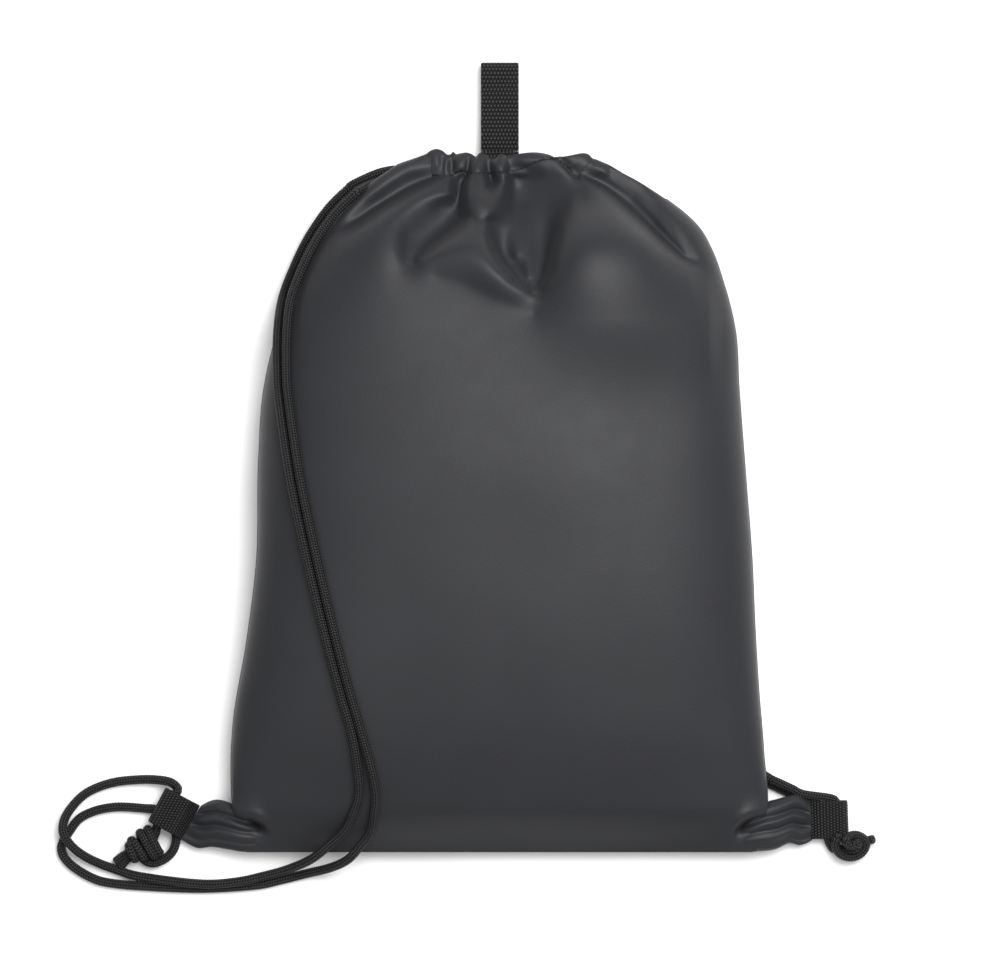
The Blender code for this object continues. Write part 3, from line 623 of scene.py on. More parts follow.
def studio():
    """A very broad light overhead, to the upper right, in a room that is dark towards its horizon."""
    area_light("key", KEY_PLACE, KEY_AIM, KEY_SIZE, KEY_POWER)
    world = bpy.data.worlds.new("room")
    world.use_nodes = True
    tree = world.node_tree
    place = node(tree, "ShaderNodeTexCoord")
    split = node(tree, "ShaderNodeSeparateXYZ")
    tree.links.new(place.outputs["Generated"], split.inputs["Vector"])
    colour = ramp(tree, split.outputs["Z"], tuple((at, (grey, grey, grey)) for at, grey in ROOM_GREYS))
    background = tree.nodes["Background"]
    tree.links.new(colour, background.inputs["Color"])
    background.inputs["Strength"].default_value = ROOM_STRENGTH
    bpy.context.scene.world = world
    bpy.context.scene.view_settings.view_transform = "Standard"


def floor():
    corners = [(x * FLOOR_HALF, y * FLOOR_HALF, 0) for x, y in ((-1, -1), (1, -1), (1, 1), (-1, 1))]
    look = plain_material("pale_floor", FLOOR_GREY, 0.9, 3, 0.0)
    mesh_piece("floor", corners, ((0, 1, 2, 3),), look)


camera()
studio()
floor()


# ======== the bag's cloth
FRONT_ROWS = {"round": 26, "body": 50, "upper": 82, "neck": 36, "hem": 14}
UPPER_START = 0.075
COLUMNS = 280
# How evenly the columns are spread: 1 is evenly, 0 crowds them towards the side seams
EVENNESS = 0.55
HEM_BACK_ROWS = 9
# The fold field is held at zero at this many points along its top and bottom, and fades at its sides
FOLD_EDGE_POINTS = 24
FOLD_SIDE_FADE = 0.012


def fold_field():
    """The folds as heights on a fine square grid: the smoothest cloth that bends along every line."""
    (x0, y0), (x1, y1) = FOLD_ZONE
    known = []
    for line in FOLDS.values():
        path = np.array(line, float)
        walked = lengths_along(path[:, :2])
        at = np.linspace(0, walked[-1], max(2, int(round(walked[-1] / FOLD_STEP)) + 1))
        known += list(np.column_stack([np.interp(at, walked, path[:, k]) for k in range(3)]))
    for x in np.linspace(x0, x1, FOLD_EDGE_POINTS):
        known += [(x, y0, 0.0), (x, y1, 0.0)]
    known = np.array(known)
    apart = np.hypot(known[:, None, 0] - known[None, :, 0], known[:, None, 1] - known[None, :, 1])
    weights = np.linalg.solve(apart - FOLD_EASE * np.eye(len(known)), known[:, 2])
    xs = np.linspace(x0, x1, int(round((x1 - x0) / FOLD_GRID)) + 1)
    ys = np.linspace(y0, y1, int(round((y1 - y0) / FOLD_GRID)) + 1)
    rows = [np.hypot(xs[:, None] - known[None, :, 0], y - known[None, :, 1]) @ weights for y in ys]
    field = soften(np.array(rows), FOLD_SOFTNESS / FOLD_GRID)
    inside = smoothstep(x0, x0 + FOLD_SIDE_FADE, xs) * (1 - smoothstep(x1 - FOLD_SIDE_FADE, x1, xs))
    return field * inside[None, :] * smoothstep(y0, FOLD_FADE, ys)[:, None]


def soften(field, sigma):
    """A Gaussian blur."""
    reach = int(math.ceil(3 * sigma))
    kernel = np.exp(-0.5 * (np.arange(-reach, reach + 1) / sigma) ** 2)
    kernel /= kernel.sum()

    def blurred(line):
        return np.convolve(np.pad(line, reach, "edge"), kernel, "valid")

    for axis in (0, 1):
        field = np.apply_along_axis(blurred, axis, field)
    return field


def sample(field, x, y):
    """The folds' height at arrays of points."""
    x0, y0 = FOLD_ZONE[0]
    fx = np.clip((x - x0) / FOLD_GRID, 0, field.shape[1] - 1.001)
    fy = np.clip((y - y0) / FOLD_GRID, 0, field.shape[0] - 1.001)
    i, j = fx.astype(int), fy.astype(int)
    tx, ty = fx - i, fy - j
    low = field[j, i] * (1 - tx) + field[j, i + 1] * tx
    high = field[j + 1, i] * (1 - tx) + field[j + 1, i + 1] * tx
    return low * (1 - ty) + high * ty


def cloth_grid():
    """The plan of one panel with its hem: x, y, across (-1 to 1) and how far up the hem (0 to 1)."""
    share = np.linspace(0, 1, COLUMNS + 1)
    share = EVENNESS * share + (1 - EVENNESS) * (0.5 - 0.5 * np.cos(math.pi * share))
    round_y = BOTTOM_Y + FRONT_ROUND * (1 - np.cos(np.linspace(0, math.pi / 2, FRONT_ROWS["round"])))
    body_y = np.linspace(round_y[-1], UPPER_START, FRONT_ROWS["body"])[1:]
    upper_y = np.linspace(UPPER_START, NECK_START, FRONT_ROWS["upper"])[1:]
    xs, ys, ups = [], [], []

    def add_row(x, y, up):
        xs.append(x)
        ys.append(np.broadcast_to(y, x.shape))
        ups.append(np.full(x.shape, up))

    for y in np.concatenate([round_y, body_y, upper_y]):
        left, right = through(LEFT_EDGE, y), through(RIGHT_EDGE, y)
        add_row(left + (right - left) * share, y, 0.0)
    end_left, end_right = STITCH_LINE[0][1], STITCH_LINE[-1][1]
    ends = end_left + (end_right - end_left) * share
    for q in np.linspace(0, 1, FRONT_ROWS["neck"])[1:]:
        left = through(LEFT_EDGE, NECK_START + (end_left - NECK_START) * q)
        right = through(RIGHT_EDGE, NECK_START + (end_right - NECK_START) * q)
        x = left + (right - left) * share
        y = NECK_START + (ends - NECK_START) * q + (through(STITCH_LINE, x) - ends) * q ** 2
        add_row(x, y, 0.0)
    stitch_x, stitch_y = xs[-1], ys[-1]
    top_x = through(TOP_ROW, share)
    top_y = through(TOP_LINE, top_x)
    for q in np.linspace(0, 1, FRONT_ROWS["hem"] + 1)[1:]:
        up = math.sin(q * math.pi / 2)
        add_row(stitch_x + (top_x - stitch_x) * up, stitch_y + (top_y - stitch_y) * up, up)
    return np.array(xs), np.array(ys), 2 * share[None, :] - 1, np.array(ups)


# Each bottom corner's lip, where the full front overhangs the cloth gathered into the corner
LIPS = mm((
    (
        (-180, -235.2), (-175.2, -236.6), (-169, -238.6), (-161.6, -239.5), (-153.1, -243.2),
        (-148.3, -248.9),
    ),
    ((183, -235.8), (178.8, -236.5), (173.3, -237.3), (165.1, -239.6), (156.9, -244.7), (152.8, -249.1)),
))
LIP_TOP = -0.225
EAR_LEVEL = 0.0195
# By the distance below the lip: the fall to the gathered cloth, the pocket there, and the swell above it
LIP_FALL = (-0.0008, 0.0022)
POCKET = {"depth": 0.0095, "place": 0.0034, "width": 0.0032}
LIP_SWELL = {"height": 0.003, "place": -0.0042, "width": 0.004}
UNDULATION = 0.0016


def undulations(x, y):
    """Faint hollows and swells of a bag that is loosely filled."""
    flat = []
    for px, py in zip(x.ravel(), y.ravel()):
        broad = noise.noise(Vector((px * 9, py * 7, 3.1)))
        flat.append(broad + 0.5 * noise.noise(Vector((px * 19, py * 15, 7.7))))
    return UNDULATION * np.array(flat).reshape(x.shape)


def hump(distance, shape):
    """A bell curve, 1 at the shape's place."""
    return np.exp(-((distance - shape["place"]) / shape["width"]) ** 2)


def corner_pleats(x, y, z):
    """Lowers the front below each lip to the gathered cloth of the corner, with a pocket under the lip."""
    near = y < LIP_TOP
    for lip in LIPS:
        path = smooth_route([(px, py, 0) for px, py in lip], 0.0006)
        side = 1 if path[0, 0] > 0 else -1
        lip_x = path[:, 0] * side
        order = np.argsort(lip_x)
        here = x * side
        share = np.clip((here - lip_x.min()) / (lip_x.max() - lip_x.min()), 0, 1)
        below = np.interp(here, lip_x[order], path[order, 1]) - y
        strength = smoothstep(0.0, 0.35, share) * (here > lip_x.min())
        fallen = smoothstep(*LIP_FALL, below)
        level = np.minimum(z, EAR_LEVEL + (z - EAR_LEVEL) * (0.55 - 0.45 * share))
        pocket = POCKET["depth"] * strength * hump(below, POCKET) * (1 - 0.6 * share)
        z = np.where(near, z + (level - pocket - z) * fallen * strength, z)
        z = z + near * LIP_SWELL["height"] * strength * hump(below, LIP_SWELL)
    return z


# How the front turns over at the bottom seam, and how soon it is full enough to show folds
BOTTOM_TURN = 1.7
FULLNESS = 1.6
# Between which heights in y the front and the back part, the undulations stop and the back takes the folds
MOUTH_PARTS = (0.166, 0.184)
UNDULATIONS_STOP = (0.14, 0.18)
BACK_FOLDS = (0.155, 0.175)
BACK_FOLD_SHARE = 0.5
# The hem: its roundness at the top edge, how much calmer its folds are there, and where its tunnel ends
HEM_DOME = 2.4
HEM_CALM = 0.35
HEM_MIDDLE_Z = FRONT_HEM_Z - 0.001
TUNNEL_ENDS = ((-0.66, -0.6), (0.58, 0.64))
STITCH_SINK = 0.0005
STITCH_HALF = 0.0012
HEM_SWELL = 0.0007
# The cloth's cover over the hidden cords, and between which places in x it counts
CORD_COVER = 0.0012
COVER_BLEND = 0.0006
COVERED = (HEM_LEFT - 0.004, TUNNEL_RIGHT + 0.014)
FLOOR_CLEARANCE = 0.0003


def over_cords(x, y, z):
    """Lifts the cloth, where it needs it, over the cords' upper runs inside the hem."""
    reach = CORD / 2 + CORD_COVER
    for strand_y in STRAND_Y.values():
        over = TUNNEL_CORD_Z + np.sqrt(np.maximum(reach ** 2 - (y - strand_y) ** 2, 0))
        near = (np.abs(y - strand_y) < reach) & (x > COVERED[0]) & (x < COVERED[1])
        short = over - z
        z = np.where(near, z + (short + np.sqrt(short ** 2 + COVER_BLEND ** 2)) / 2, z)
    return z


def front_heights(x, y, across, up, field):
    """Heights of the front and its hem: full and round, with the folds, the lips and the stitch line."""
    seam = through(SEAM, y) + SEAM_HALF + MOUTH * smoothstep(*MOUTH_PARTS, y)
    rise = 1 - (1 - np.minimum((y - BOTTOM_Y) / FRONT_ROUND, 1)) ** BOTTOM_TURN
    body = rise * dome(across, FRONT_POWER)
    z = seam + (through(CREST, y) - seam) * body
    stitch_y = through(STITCH_LINE, x)
    fullness = np.clip(body * FULLNESS, 0, 1)
    z += FOLD_GAIN * sample(field, x, y) * fullness * (1 - HEM_CALM * up)
    z += undulations(x, y) * fullness * (1 - smoothstep(*UNDULATIONS_STOP, y))
    z = corner_pleats(x, y, z)
    in_tunnel = smoothstep(*TUNNEL_ENDS[0], across) * (1 - smoothstep(*TUNNEL_ENDS[1], across))
    z -= STITCH_SINK * np.exp(-((y - stitch_y) / STITCH_HALF) ** 2) * in_tunnel
    z += HEM_SWELL * np.sin(math.pi * np.clip(up, 0, 1)) * in_tunnel
    z = over_cords(x, y, z)
    middle = np.minimum(HEM_MIDDLE_Z, z)
    return np.where(up > 0, middle + (z - middle) * dome(up, HEM_DOME), z)


def back_heights(x, y, across, up, field):
    """Heights of the back and its hem, which rests on the floor and takes the front's folds at the neck."""
    seam = through(SEAM, y) - SEAM_HALF - MOUTH * smoothstep(*MOUTH_PARTS, y)
    rise = dome(1 - np.minimum((y - BOTTOM_Y) / BACK_ROUND, 1), 2)
    z = seam + (through(TROUGH, y) - seam) * rise * dome(across, BACK_POWER)
    z -= BACK_FOLD_SHARE * sample(field, x, y) * smoothstep(*BACK_FOLDS, y) * (1 - up)
    z = np.maximum(z, FLOOR_CLEARANCE)
    return np.where(up > 0, BACK_HEM_Z - (BACK_HEM_Z - z) * dome(up, HEM_DOME), z)


HEM_BACK_THICK = 0.0045
HEM_BACK_SHORT = 0.0008


def hem_back_rows(x, y, centre_z, inwards, depth):
    """The rows of a hem that go over its top edge and down its hidden side."""
    rows = []
    for q in np.linspace(0, 1, HEM_BACK_ROWS + 1)[1:]:
        fallen = math.sin(q * math.pi / 2) ** 2
        rounded = math.sin(min(q * 1.6, 1.0) * math.pi / 2)
        z = np.full(len(x), centre_z + inwards * HEM_BACK_THICK * rounded)
        rows.append(np.column_stack([x, y - depth * fallen, z]))
    return rows


def bag_side(side, heights, field, centre_z, inwards):
    """A panel up to the stitch line and the hem's tunnel above it; inwards (-1 or 1) is its way inside."""
    x, y, across, up = cloth_grid()
    z = heights(x, y, np.broadcast_to(across, x.shape), up, field)
    rows, columns = x.shape
    points = np.dstack([x, y, z])
    hem_row = rows - FRONT_ROWS["hem"] - 1
    share = (across[0] + 1) / 2
    first, last = (int(np.argmin(np.abs(share - end))) for end in TUNNEL_SHARES)
    faces = grid_faces(rows, columns)
    face_row, face_column = faces[:, 0] // columns, faces[:, 0] % columns
    in_hem = (face_row >= hem_row) & (face_column >= first) & (face_column < last)
    front = points[hem_row:, first:last + 1]
    top = front[-1]
    depth = top[:, 1] - front[0, :, 1] - HEM_BACK_SHORT
    behind = hem_back_rows(top[:, 0], top[:, 1], centre_z, inwards, depth)
    tunnel = np.vstack([front, np.array(behind)])
    tunnel_faces = grid_faces(tunnel.shape[0], tunnel.shape[1])
    if inwards > 0:
        faces, tunnel_faces = faces[:, ::-1], tunnel_faces[:, ::-1]
    panel = loose_piece(f"{side}_cloth", points.reshape(-1, 3), faces[~in_hem], MATERIALS["bag_fabric"])
    hem = mesh_piece(f"{side}_hem_cloth", tunnel.reshape(-1, 3), tunnel_faces, MATERIALS["hem_fabric"])
    return thicken(panel), thicken(hem)


def loose_piece(name, verts, faces, made_of):
    """A piece from some of a grid's faces, without the vertices that they leave out."""
    used, places = np.unique(faces, return_inverse=True)
    return mesh_piece(name, verts[used], places.reshape(faces.shape), made_of)


folds = fold_field()
front_cloth, front_hem_cloth = bag_side("front", front_heights, folds, HEM_MIDDLE_Z, -1)
back_cloth, back_hem_cloth = bag_side("back", back_heights, folds, BACK_HEM_Z, 1)


# ======== what lies on the bag
RAY_START = 0.3


def surface_below(pieces):
    """A function that gives the highest surface under a point, or the floor."""
    trees = ray_trees(pieces)
    down = Vector((0, 0, -1))

    def height(x, y):
        best = 0.0
        for tree in trees:
            hit = tree.ray_cast(Vector((x, y, RAY_START)), down)[0]
            if hit is not None:
                best = max(best, hit.z)
        return best

    return height


cloth_height = surface_below((front_cloth, front_hem_cloth))


# How far apart the points of a smoothed route are: where it is laid down, elsewhere and in the knots
LYING_STEP = 0.004
ROUTE_STEP = 0.002
KNOT_STEP = 0.001


def lying_height(x, y):
    """The height of the middle of a round cord that lies on the cloth or the floor."""
    radius = CORD / 2
    best = radius
    for ring in (0.0, 0.45, 0.85):
        for turn in range(8 if ring else 1):
            angle = turn * math.tau / 8
            px = x + ring * radius * math.cos(angle)
            py = y + ring * radius * math.sin(angle)
            best = max(best, cloth_height(px, py) + radius * math.sqrt(1 - ring * ring))
    return best + LYING_GAP


def eased(heights, floor_heights, times):
    """Heights smoothed along a cord, never below the floor heights."""
    for _ in range(times):
        padded = np.pad(heights, 1, "edge")
        heights = np.maximum((padded[:-2] + 2 * padded[1:-1] + padded[2:]) / 4, floor_heights)
    return heights


def resting(route, low, until):
    """Lays a route of (x, y) or (x, y, lift) points down, and evens it out as a cord's stiffness does.

    Where y is above until, the cord hangs against the bag's side, no lower than low.
    """
    plan = smooth_route([(p[0], p[1], p[2] if len(p) == 3 else 0.0) for p in route], LYING_STEP)
    under = np.array([lying_height(x, y) for x, y, _ in plan])
    under = np.maximum(under, low * smoothstep(until, until + 0.03, plan[:, 1]))
    bridged = eased(under, under, BRIDGING)
    lifted = eased(bridged + np.maximum(plan[:, 2], 0), bridged, LIFT_EASING)
    return [tuple(p) for p in np.column_stack([plan[:, :2], lifted])]


# ======== cords
def frames_along(path):
    """Two directions across a path at each point, turned as little as possible from one to the next."""
    along = np.gradient(path, axis=0)
    along /= np.linalg.norm(along, axis=1)[:, None]
    side = np.cross(along[0], (0, 0, 1.0))
    if np.linalg.norm(side) < 1e-3:
        side = np.cross(along[0], (0, 1.0, 0))
    sides = []
    for t in along:
        side = side - t * np.dot(side, t)
        side /= np.linalg.norm(side)
        sides.append(side)
    sides = np.array(sides)
    return sides, np.cross(sides, along)


def rings_round(path, angle, radius):
    """The points of rings round a path, at the given angles; radius is one number or an array."""
    across, up = frames_along(path)
    cos, sin = np.cos(angle)[None, :, None], np.sin(angle)[None, :, None]
    return (path[:, None, :] + (across[:, None, :] * cos + up[:, None, :] * sin) * radius).reshape(-1, 3)


def braid_relief(along, round_it):
    """How far the plaits stand out, 0 to 1, at arrays of places counted in plaits."""
    column = np.floor(round_it)
    side = round_it - column - 0.5
    turn = np.mod(column, 2) * 2 - 1
    plait = (np.mod(along + side * turn * BRAID_SLANT, 1) - 0.5) * 2
    return (1 - plait ** 2) * (1 - 2.4 * side ** 2)


def braided(name, path, sides=24, step=0.0005, end_cap=False):
    """A braided cord along a path: a tube with its plaits in relief, and a cut, rounded end if asked."""
    path = evenly(np.array(path, float), step)
    walked = lengths_along(path)
    turn = (np.arange(sides) + 0.5) / sides
    relief = braid_relief(walked[:, None] / BRAID_PITCH, turn[None, :] * BRAID_COLUMNS)
    radius = CORD / 2 - BRAID_RELIEF * 0.6 + BRAID_RELIEF * relief
    if end_cap:
        near = np.clip((walked[-1] - walked) / (CORD * 0.28), 0, 1)
        radius = radius * (np.sqrt(np.maximum(1 - (1 - near) ** 2.6, 0.0)) * 0.995 + 0.005)[:, None]
    points = rings_round(path, turn * math.tau, radius[:, :, None])
    faces = grid_faces(len(path), sides, wrap=True)
    before = turn * BRAID_COLUMNS
    uvs = corner_uvs(faces, sides, walked / BRAID_PITCH, before, before + BRAID_COLUMNS / sides)
    uvs = np.vstack([uvs[:, ::-1].reshape(-1, 2), np.full((2 * sides, 2), 0.5)])
    faces = [tuple(f) for f in faces[:, ::-1]] + ring_ends(len(path), sides)
    piece = mesh_piece(name, points, faces, MATERIALS["cord"], uvs)
    return piece, path


def split_end(route, end_length):
    """A route in two: what rides on the bag, and the stretch at the tab."""
    route = evenly(np.array(route, float), 0.001)
    walked = lengths_along(route)
    cut = int(np.searchsorted(walked, walked[-1] - end_length))
    return route[:cut + 1], route[cut:]


def strand(side, which, route):
    """One strand of a drawcord: its long run on the bag and its end at the tab, as a piece of its own."""
    main, end = split_end(smooth_route(route, ROUTE_STEP), FLEXIBLE_END[f"{side}_{which}"])
    run, run_path = braided(f"{side}_{which}_strand", main)
    settle(run, "bag", f"{side}_cord_{which}_strand")
    tail, tail_path = braided(f"{side}_{which}_strand_end", end)
    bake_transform(tail)


# How low the left strands hang against the bag's side, above which place in y
SIDE_LOW = 0.01
SIDE_FROM = 0.085
# Each strand's height inside the hems, and how far it lies to the side of its pair's middle line
STRANDS = (("inner", BACK_HEM_Z, PAIR_OFFSET), ("outer", TUNNEL_CORD_Z, -PAIR_OFFSET))
# Where each strand goes into its tab, as (out along the tab, across it, up)
INTO_TAB = mm({
    "left": {"inner": ((18, 15, 4.2), (18, 10, 4.2)), "outer": ()},
    "right": {"inner": ((8.5, 13.5, 0.6), (8.5, 8.5, 0)), "outer": ((16.5, 13.5, 0.6), (16.5, 8.5, 0))},
})


def left_routes():
    """The left strands: out of the mouth, over the bag's front, round on the floor and into their tab."""
    routes = {}
    for which, tunnel_z, offset in STRANDS:
        lead = [(HEM_LEFT - START_GAP, STRAND_Y["left"], tunnel_z)]
        lead += [(x, y, MOUTH_Z[which]) for x, y in LEFT_MOUTH[which]]
        lying = resting(beside(LEFT_PAIR, offset)[1:] + list(LEFT_TAILS[which]), SIDE_LOW, SIDE_FROM)
        routes[which] = lead + lying + [tuple(in_tab(LEFT_TAB, *p)) for p in INTO_TAB["left"][which]]
    return routes


def right_routes():
    """The right strands: out of the mouth, under the bag and into their tab."""
    routes = {}
    for which, tunnel_z, offset in STRANDS:
        route = [(HEM_RIGHT + START_GAP + dx, STRAND_Y["right"] + dy, tunnel_z) for dx, dy in RIGHT_LEAD]
        falls = RIGHT_FALLS[which] + (0.0,) * len(RIGHT_ROUTE)
        route += [(x, y, CORD_Z + fall) for (x, y), fall in zip(beside(RIGHT_ROUTE, offset), falls)]
        close = RIGHT_END_OFFSET if which == "inner" else -RIGHT_END_OFFSET
        route += [(x, y, CORD_Z + RIGHT_STACK[which]) for x, y in beside(RIGHT_END, close)]
        routes[which] = route + [tuple(in_tab(RIGHT_TAB, *p)) for p in INTO_TAB["right"][which]]
    return routes


def hem_runs():
    """Each cord's run inside the hems, round the far end of the neck."""
    radius = (FRONT_HEM_Z - BACK_HEM_Z) / 2 - 0.0008
    middle = (FRONT_HEM_Z + BACK_HEM_Z) / 2 - 0.0006
    low, high = middle - radius, middle + radius
    # The right cord lies nearer the hem's top edge, so its turn dips to stay inside
    for side, near, far, out, dip in (
        ("left", HEM_LEFT, TUNNEL_RIGHT, 1, 0.0), ("right", HEM_RIGHT, TUNNEL_LEFT, -1, 0.0012),
    ):
        y = STRAND_Y[side]
        run_x = [float(x) for x in np.linspace(near, far, 6)]
        route = [(x, y, TUNNEL_CORD_Z) for x in run_x]
        for a in (math.radians(angle) for angle in (60, 30, 0, -30, -60)):
            z = middle + radius * math.sin(a) + (TUNNEL_CORD_Z - high) * max(math.sin(a), 0.0)
            route.append((far + out * radius * math.cos(a), y - dip * math.cos(a), z))
        route += [(x, y, low) for x in run_x[::-1]]
        route_path = smooth_route(route, ROUTE_STEP)
        run, path = braided(f"{side}_cord_in_tunnels", route_path, sides=12, step=0.001)
        settle(run, "bag", f"{side}_cord_in_hems")


def coils(start, along, across, rises, turns):
    """Points of turns wound about an axis. turns holds each half turn's (place along, reach, height)."""
    points = []
    for i, turn in enumerate(turns):
        following = turns[min(i + 1, len(turns) - 1)]
        for t in (0, 0.25, 0.5, 0.75):
            place, reach, height = (a + (b - a) * t for a, b in zip(turn, following))
            angle = math.pi * (i + t)
            up = Vector((0, 0, rises + height * math.sin(angle)))
            points.append(start + along * place + across * (reach * math.cos(angle)) + up)
    return points


def tied(side, part, route, end_cap=True):
    """A piece of cord in a knot, which moves with its tab."""
    path = smooth_route([tuple(p) for p in route], KNOT_STEP)
    piece = braided(f"{side}_knot_{part}", path, end_cap=end_cap)[0]
    return settle(piece, f"{side}_tab", f"{side}_knot")


# The left knot: half turns of the cord round itself, as (place along, reach, height), and listed routes
LEFT_TURNS = mm((
    (0, -8.6, 5), (1.4, -9, 5.2), (4, -9, 5.2), (6.8, -8.8, 5), (9.8, -7.6, 4.4), (14, -6.4, 4.2),
    (16.6, -5.8, 4),
))
LEFT_KNOT_START = mm((-226.8, -254.5, 0))
LEFT_KNOT_HEADING = Vector((-0.92, -0.39, 0)).normalized()
LEFT_TURNS_RISE = 0.0088
LEFT_TURNS_TAIL = mm(((-244, -262.2, 7), (-248.6, -265, 5), (-253.6, -269, 4)))
LEFT_BAND = mm((
    (-233, -233.1, 3.2), (-227, -233.8, 3.1), (-220, -238.5, 3.1), (-214.3, -246.2, 3.4),
    (-212.8, -254, 4.4), (-215, -261.2, 5), (-220, -266.2, 4.8), (-226.2, -269, 4.8), (-231.8, -268.4, 5.4),
    (-235.6, -265, 6.4), (-237.4, -260.8, 7.6),
))
LEFT_CORE_IN_TAB = mm(((18, 11, 4.2), (18, 4, 4.2), (18, -6, 4.2), (18.8, -13, 3)))
LEFT_CORE = mm((
    (-226.2, -249, 8.2), (-229, -255, 8.6), (-233, -258, 8.8), (-240, -262.5, 7), (-246, -267.3, 5),
    (-250.6, -272.8, 4),
))
# The right knot: a flat ring of cord that spirals in and up, filled by the cord's own end
RIGHT_RING_IN_TAB = mm(((16.5, 9, 0), (17.5, 3, 0), (18.5, -6, 0), (19, -11, 0)))
RIGHT_RING_CENTRE = mm((233.6, -256.3, 10.5))
RIGHT_RING_REACH = 0.0102
RIGHT_RING_STEPS = 14
RIGHT_RING_TILT = 0.003
RIGHT_RING_SQUASH = 0.86
RIGHT_RING_TAIL = mm(((233, -257.2, 17.2), (236.8, -256, 18), (240, -254.8, 17.6)))
RIGHT_HEART_IN_TAB = mm(((8.5, 9, 0), (9.5, 4, 0), (11.5, -6, 0), (12, -12, 0)))
RIGHT_HEART = mm((
    (222, -259.2, 5), (226.8, -260.2, 6.2), (231.8, -260.4, 9.6), (237.2, -259.6, 11.2),
    (239.2, -255.2, 10.4), (235.2, -252, 9.2), (230.6, -254, 7.2), (234, -257.2, 5), (241, -256, 4),
    (245, -254.5, 4.6), (249.8, -253, 7),
))


def left_knot():
    """The cord wound round itself along a slant line, with its tail, and what it is wound round."""
    across = Vector((LEFT_KNOT_HEADING.y, -LEFT_KNOT_HEADING.x, 0))
    wound = coils(Vector(LEFT_KNOT_START), LEFT_KNOT_HEADING, across, LEFT_TURNS_RISE, LEFT_TURNS)
    core = [in_tab(LEFT_TAB, *p) for p in LEFT_CORE_IN_TAB]
    return [
        tied("left", "turns", wound + list(LEFT_TURNS_TAIL)),
        tied("left", "band", LEFT_BAND, end_cap=False),
        tied("left", "core", core + list(LEFT_CORE)),
    ]


def right_knot():
    """A flat ring of cord over the tab's corner, filled by its own end, with two cut tails."""
    ring = [in_tab(RIGHT_TAB, *p) for p in RIGHT_RING_IN_TAB]
    for step in range(RIGHT_RING_STEPS):
        angle = math.radians(150 + step * 27)
        spiral = max(step - 8, 0)
        reach = RIGHT_RING_REACH - spiral * 0.0012
        lift = RIGHT_RING_TILT * math.cos(angle - math.radians(140)) + spiral * 0.0011
        turned = Vector((reach * math.cos(angle), reach * RIGHT_RING_SQUASH * math.sin(angle), lift))
        ring.append(Vector(RIGHT_RING_CENTRE) + turned)
    heart = [in_tab(RIGHT_TAB, *p) for p in RIGHT_HEART_IN_TAB]
    return [
        tied("right", "ring", ring + list(RIGHT_RING_TAIL)),
        tied("right", "heart", heart + list(RIGHT_HEART)),
    ]


def lay_cords():
    knots = {"left": left_knot(), "right": right_knot()}
    for side, routes in (("left", left_routes()), ("right", right_routes())):
        for which, route in routes.items():
            strand(side, which, route)
    hem_runs()


lay_cords()


# ======== webbing
# The weave's (row, column) pitch: the loop's, and the tabs' finer one
LOOP_WEAVE = (0.0027, 0.0023)
TAB_WEAVE = (0.0021, 0.0018)
WEAVE_RELIEF = 0.00022
WEAVE_POINTS = 62
STRAP_STEP = 0.0004
SELVEDGE = 0.0008
LOOP_SHAPE = {"length": 0.057, "half_gap": 0.003, "neck": 0.016, "start": -0.0016, "droop": 0.0025}
LOOP_ROOT = mm(((-12, 1.6, 0), (-7, 1.3, 0), (-4, 0.8, 0), (-2.1, 0.4, 0)))
TAB_SHAPES = {
    "left": {"length": 0.026, "half_gap": 0.0035, "neck": 0.008, "start": 0.0006, "droop": -0.005},
    "right": {"length": 0.026, "half_gap": 0.0035, "neck": 0.0075, "start": 0.0008, "droop": 0.0},
}


def weave_relief(along, across):
    """How far a plain weave stands out, 0 to 1, at arrays of places counted in rows and columns."""
    row = np.floor(along)
    side = (np.mod(across + 0.5 * np.mod(row, 2), 1) - 0.5) * 2
    return np.maximum(1 - 1.1 * (2 * (along - row) - 1) ** 2, 0) * np.maximum(1 - side ** 4, 0)


def strap_middle(length, half_gap, neck, start, droop):
    """The middle line of a folded strap from the side, as (out, up), from its lower end to its upper one."""
    reach = half_gap + WEBBING / 2
    root = WEBBING / 2 + 0.0001
    bend = length - half_gap - WEBBING
    upper = [(start, root), (neck * 0.5, root + (reach - root) * 0.55), (neck, reach)]
    upper += [((neck + bend) / 2, reach), (bend, reach)]
    lower = [(s, -z) for s, z in upper]
    turned = [math.radians(angle) for angle in range(-75, 76, 15)]
    fold = [(bend + reach * math.cos(a), reach * math.sin(a)) for a in turned]
    fallen = []
    for s, z in lower + fold + upper[::-1]:
        share = min(max(s / neck, 0.0), 1.0)
        fallen.append((s, z - droop * share * share * (3 - 2 * share), 0.0))
    return smooth_route(fallen, STRAP_STEP)[:, :2]


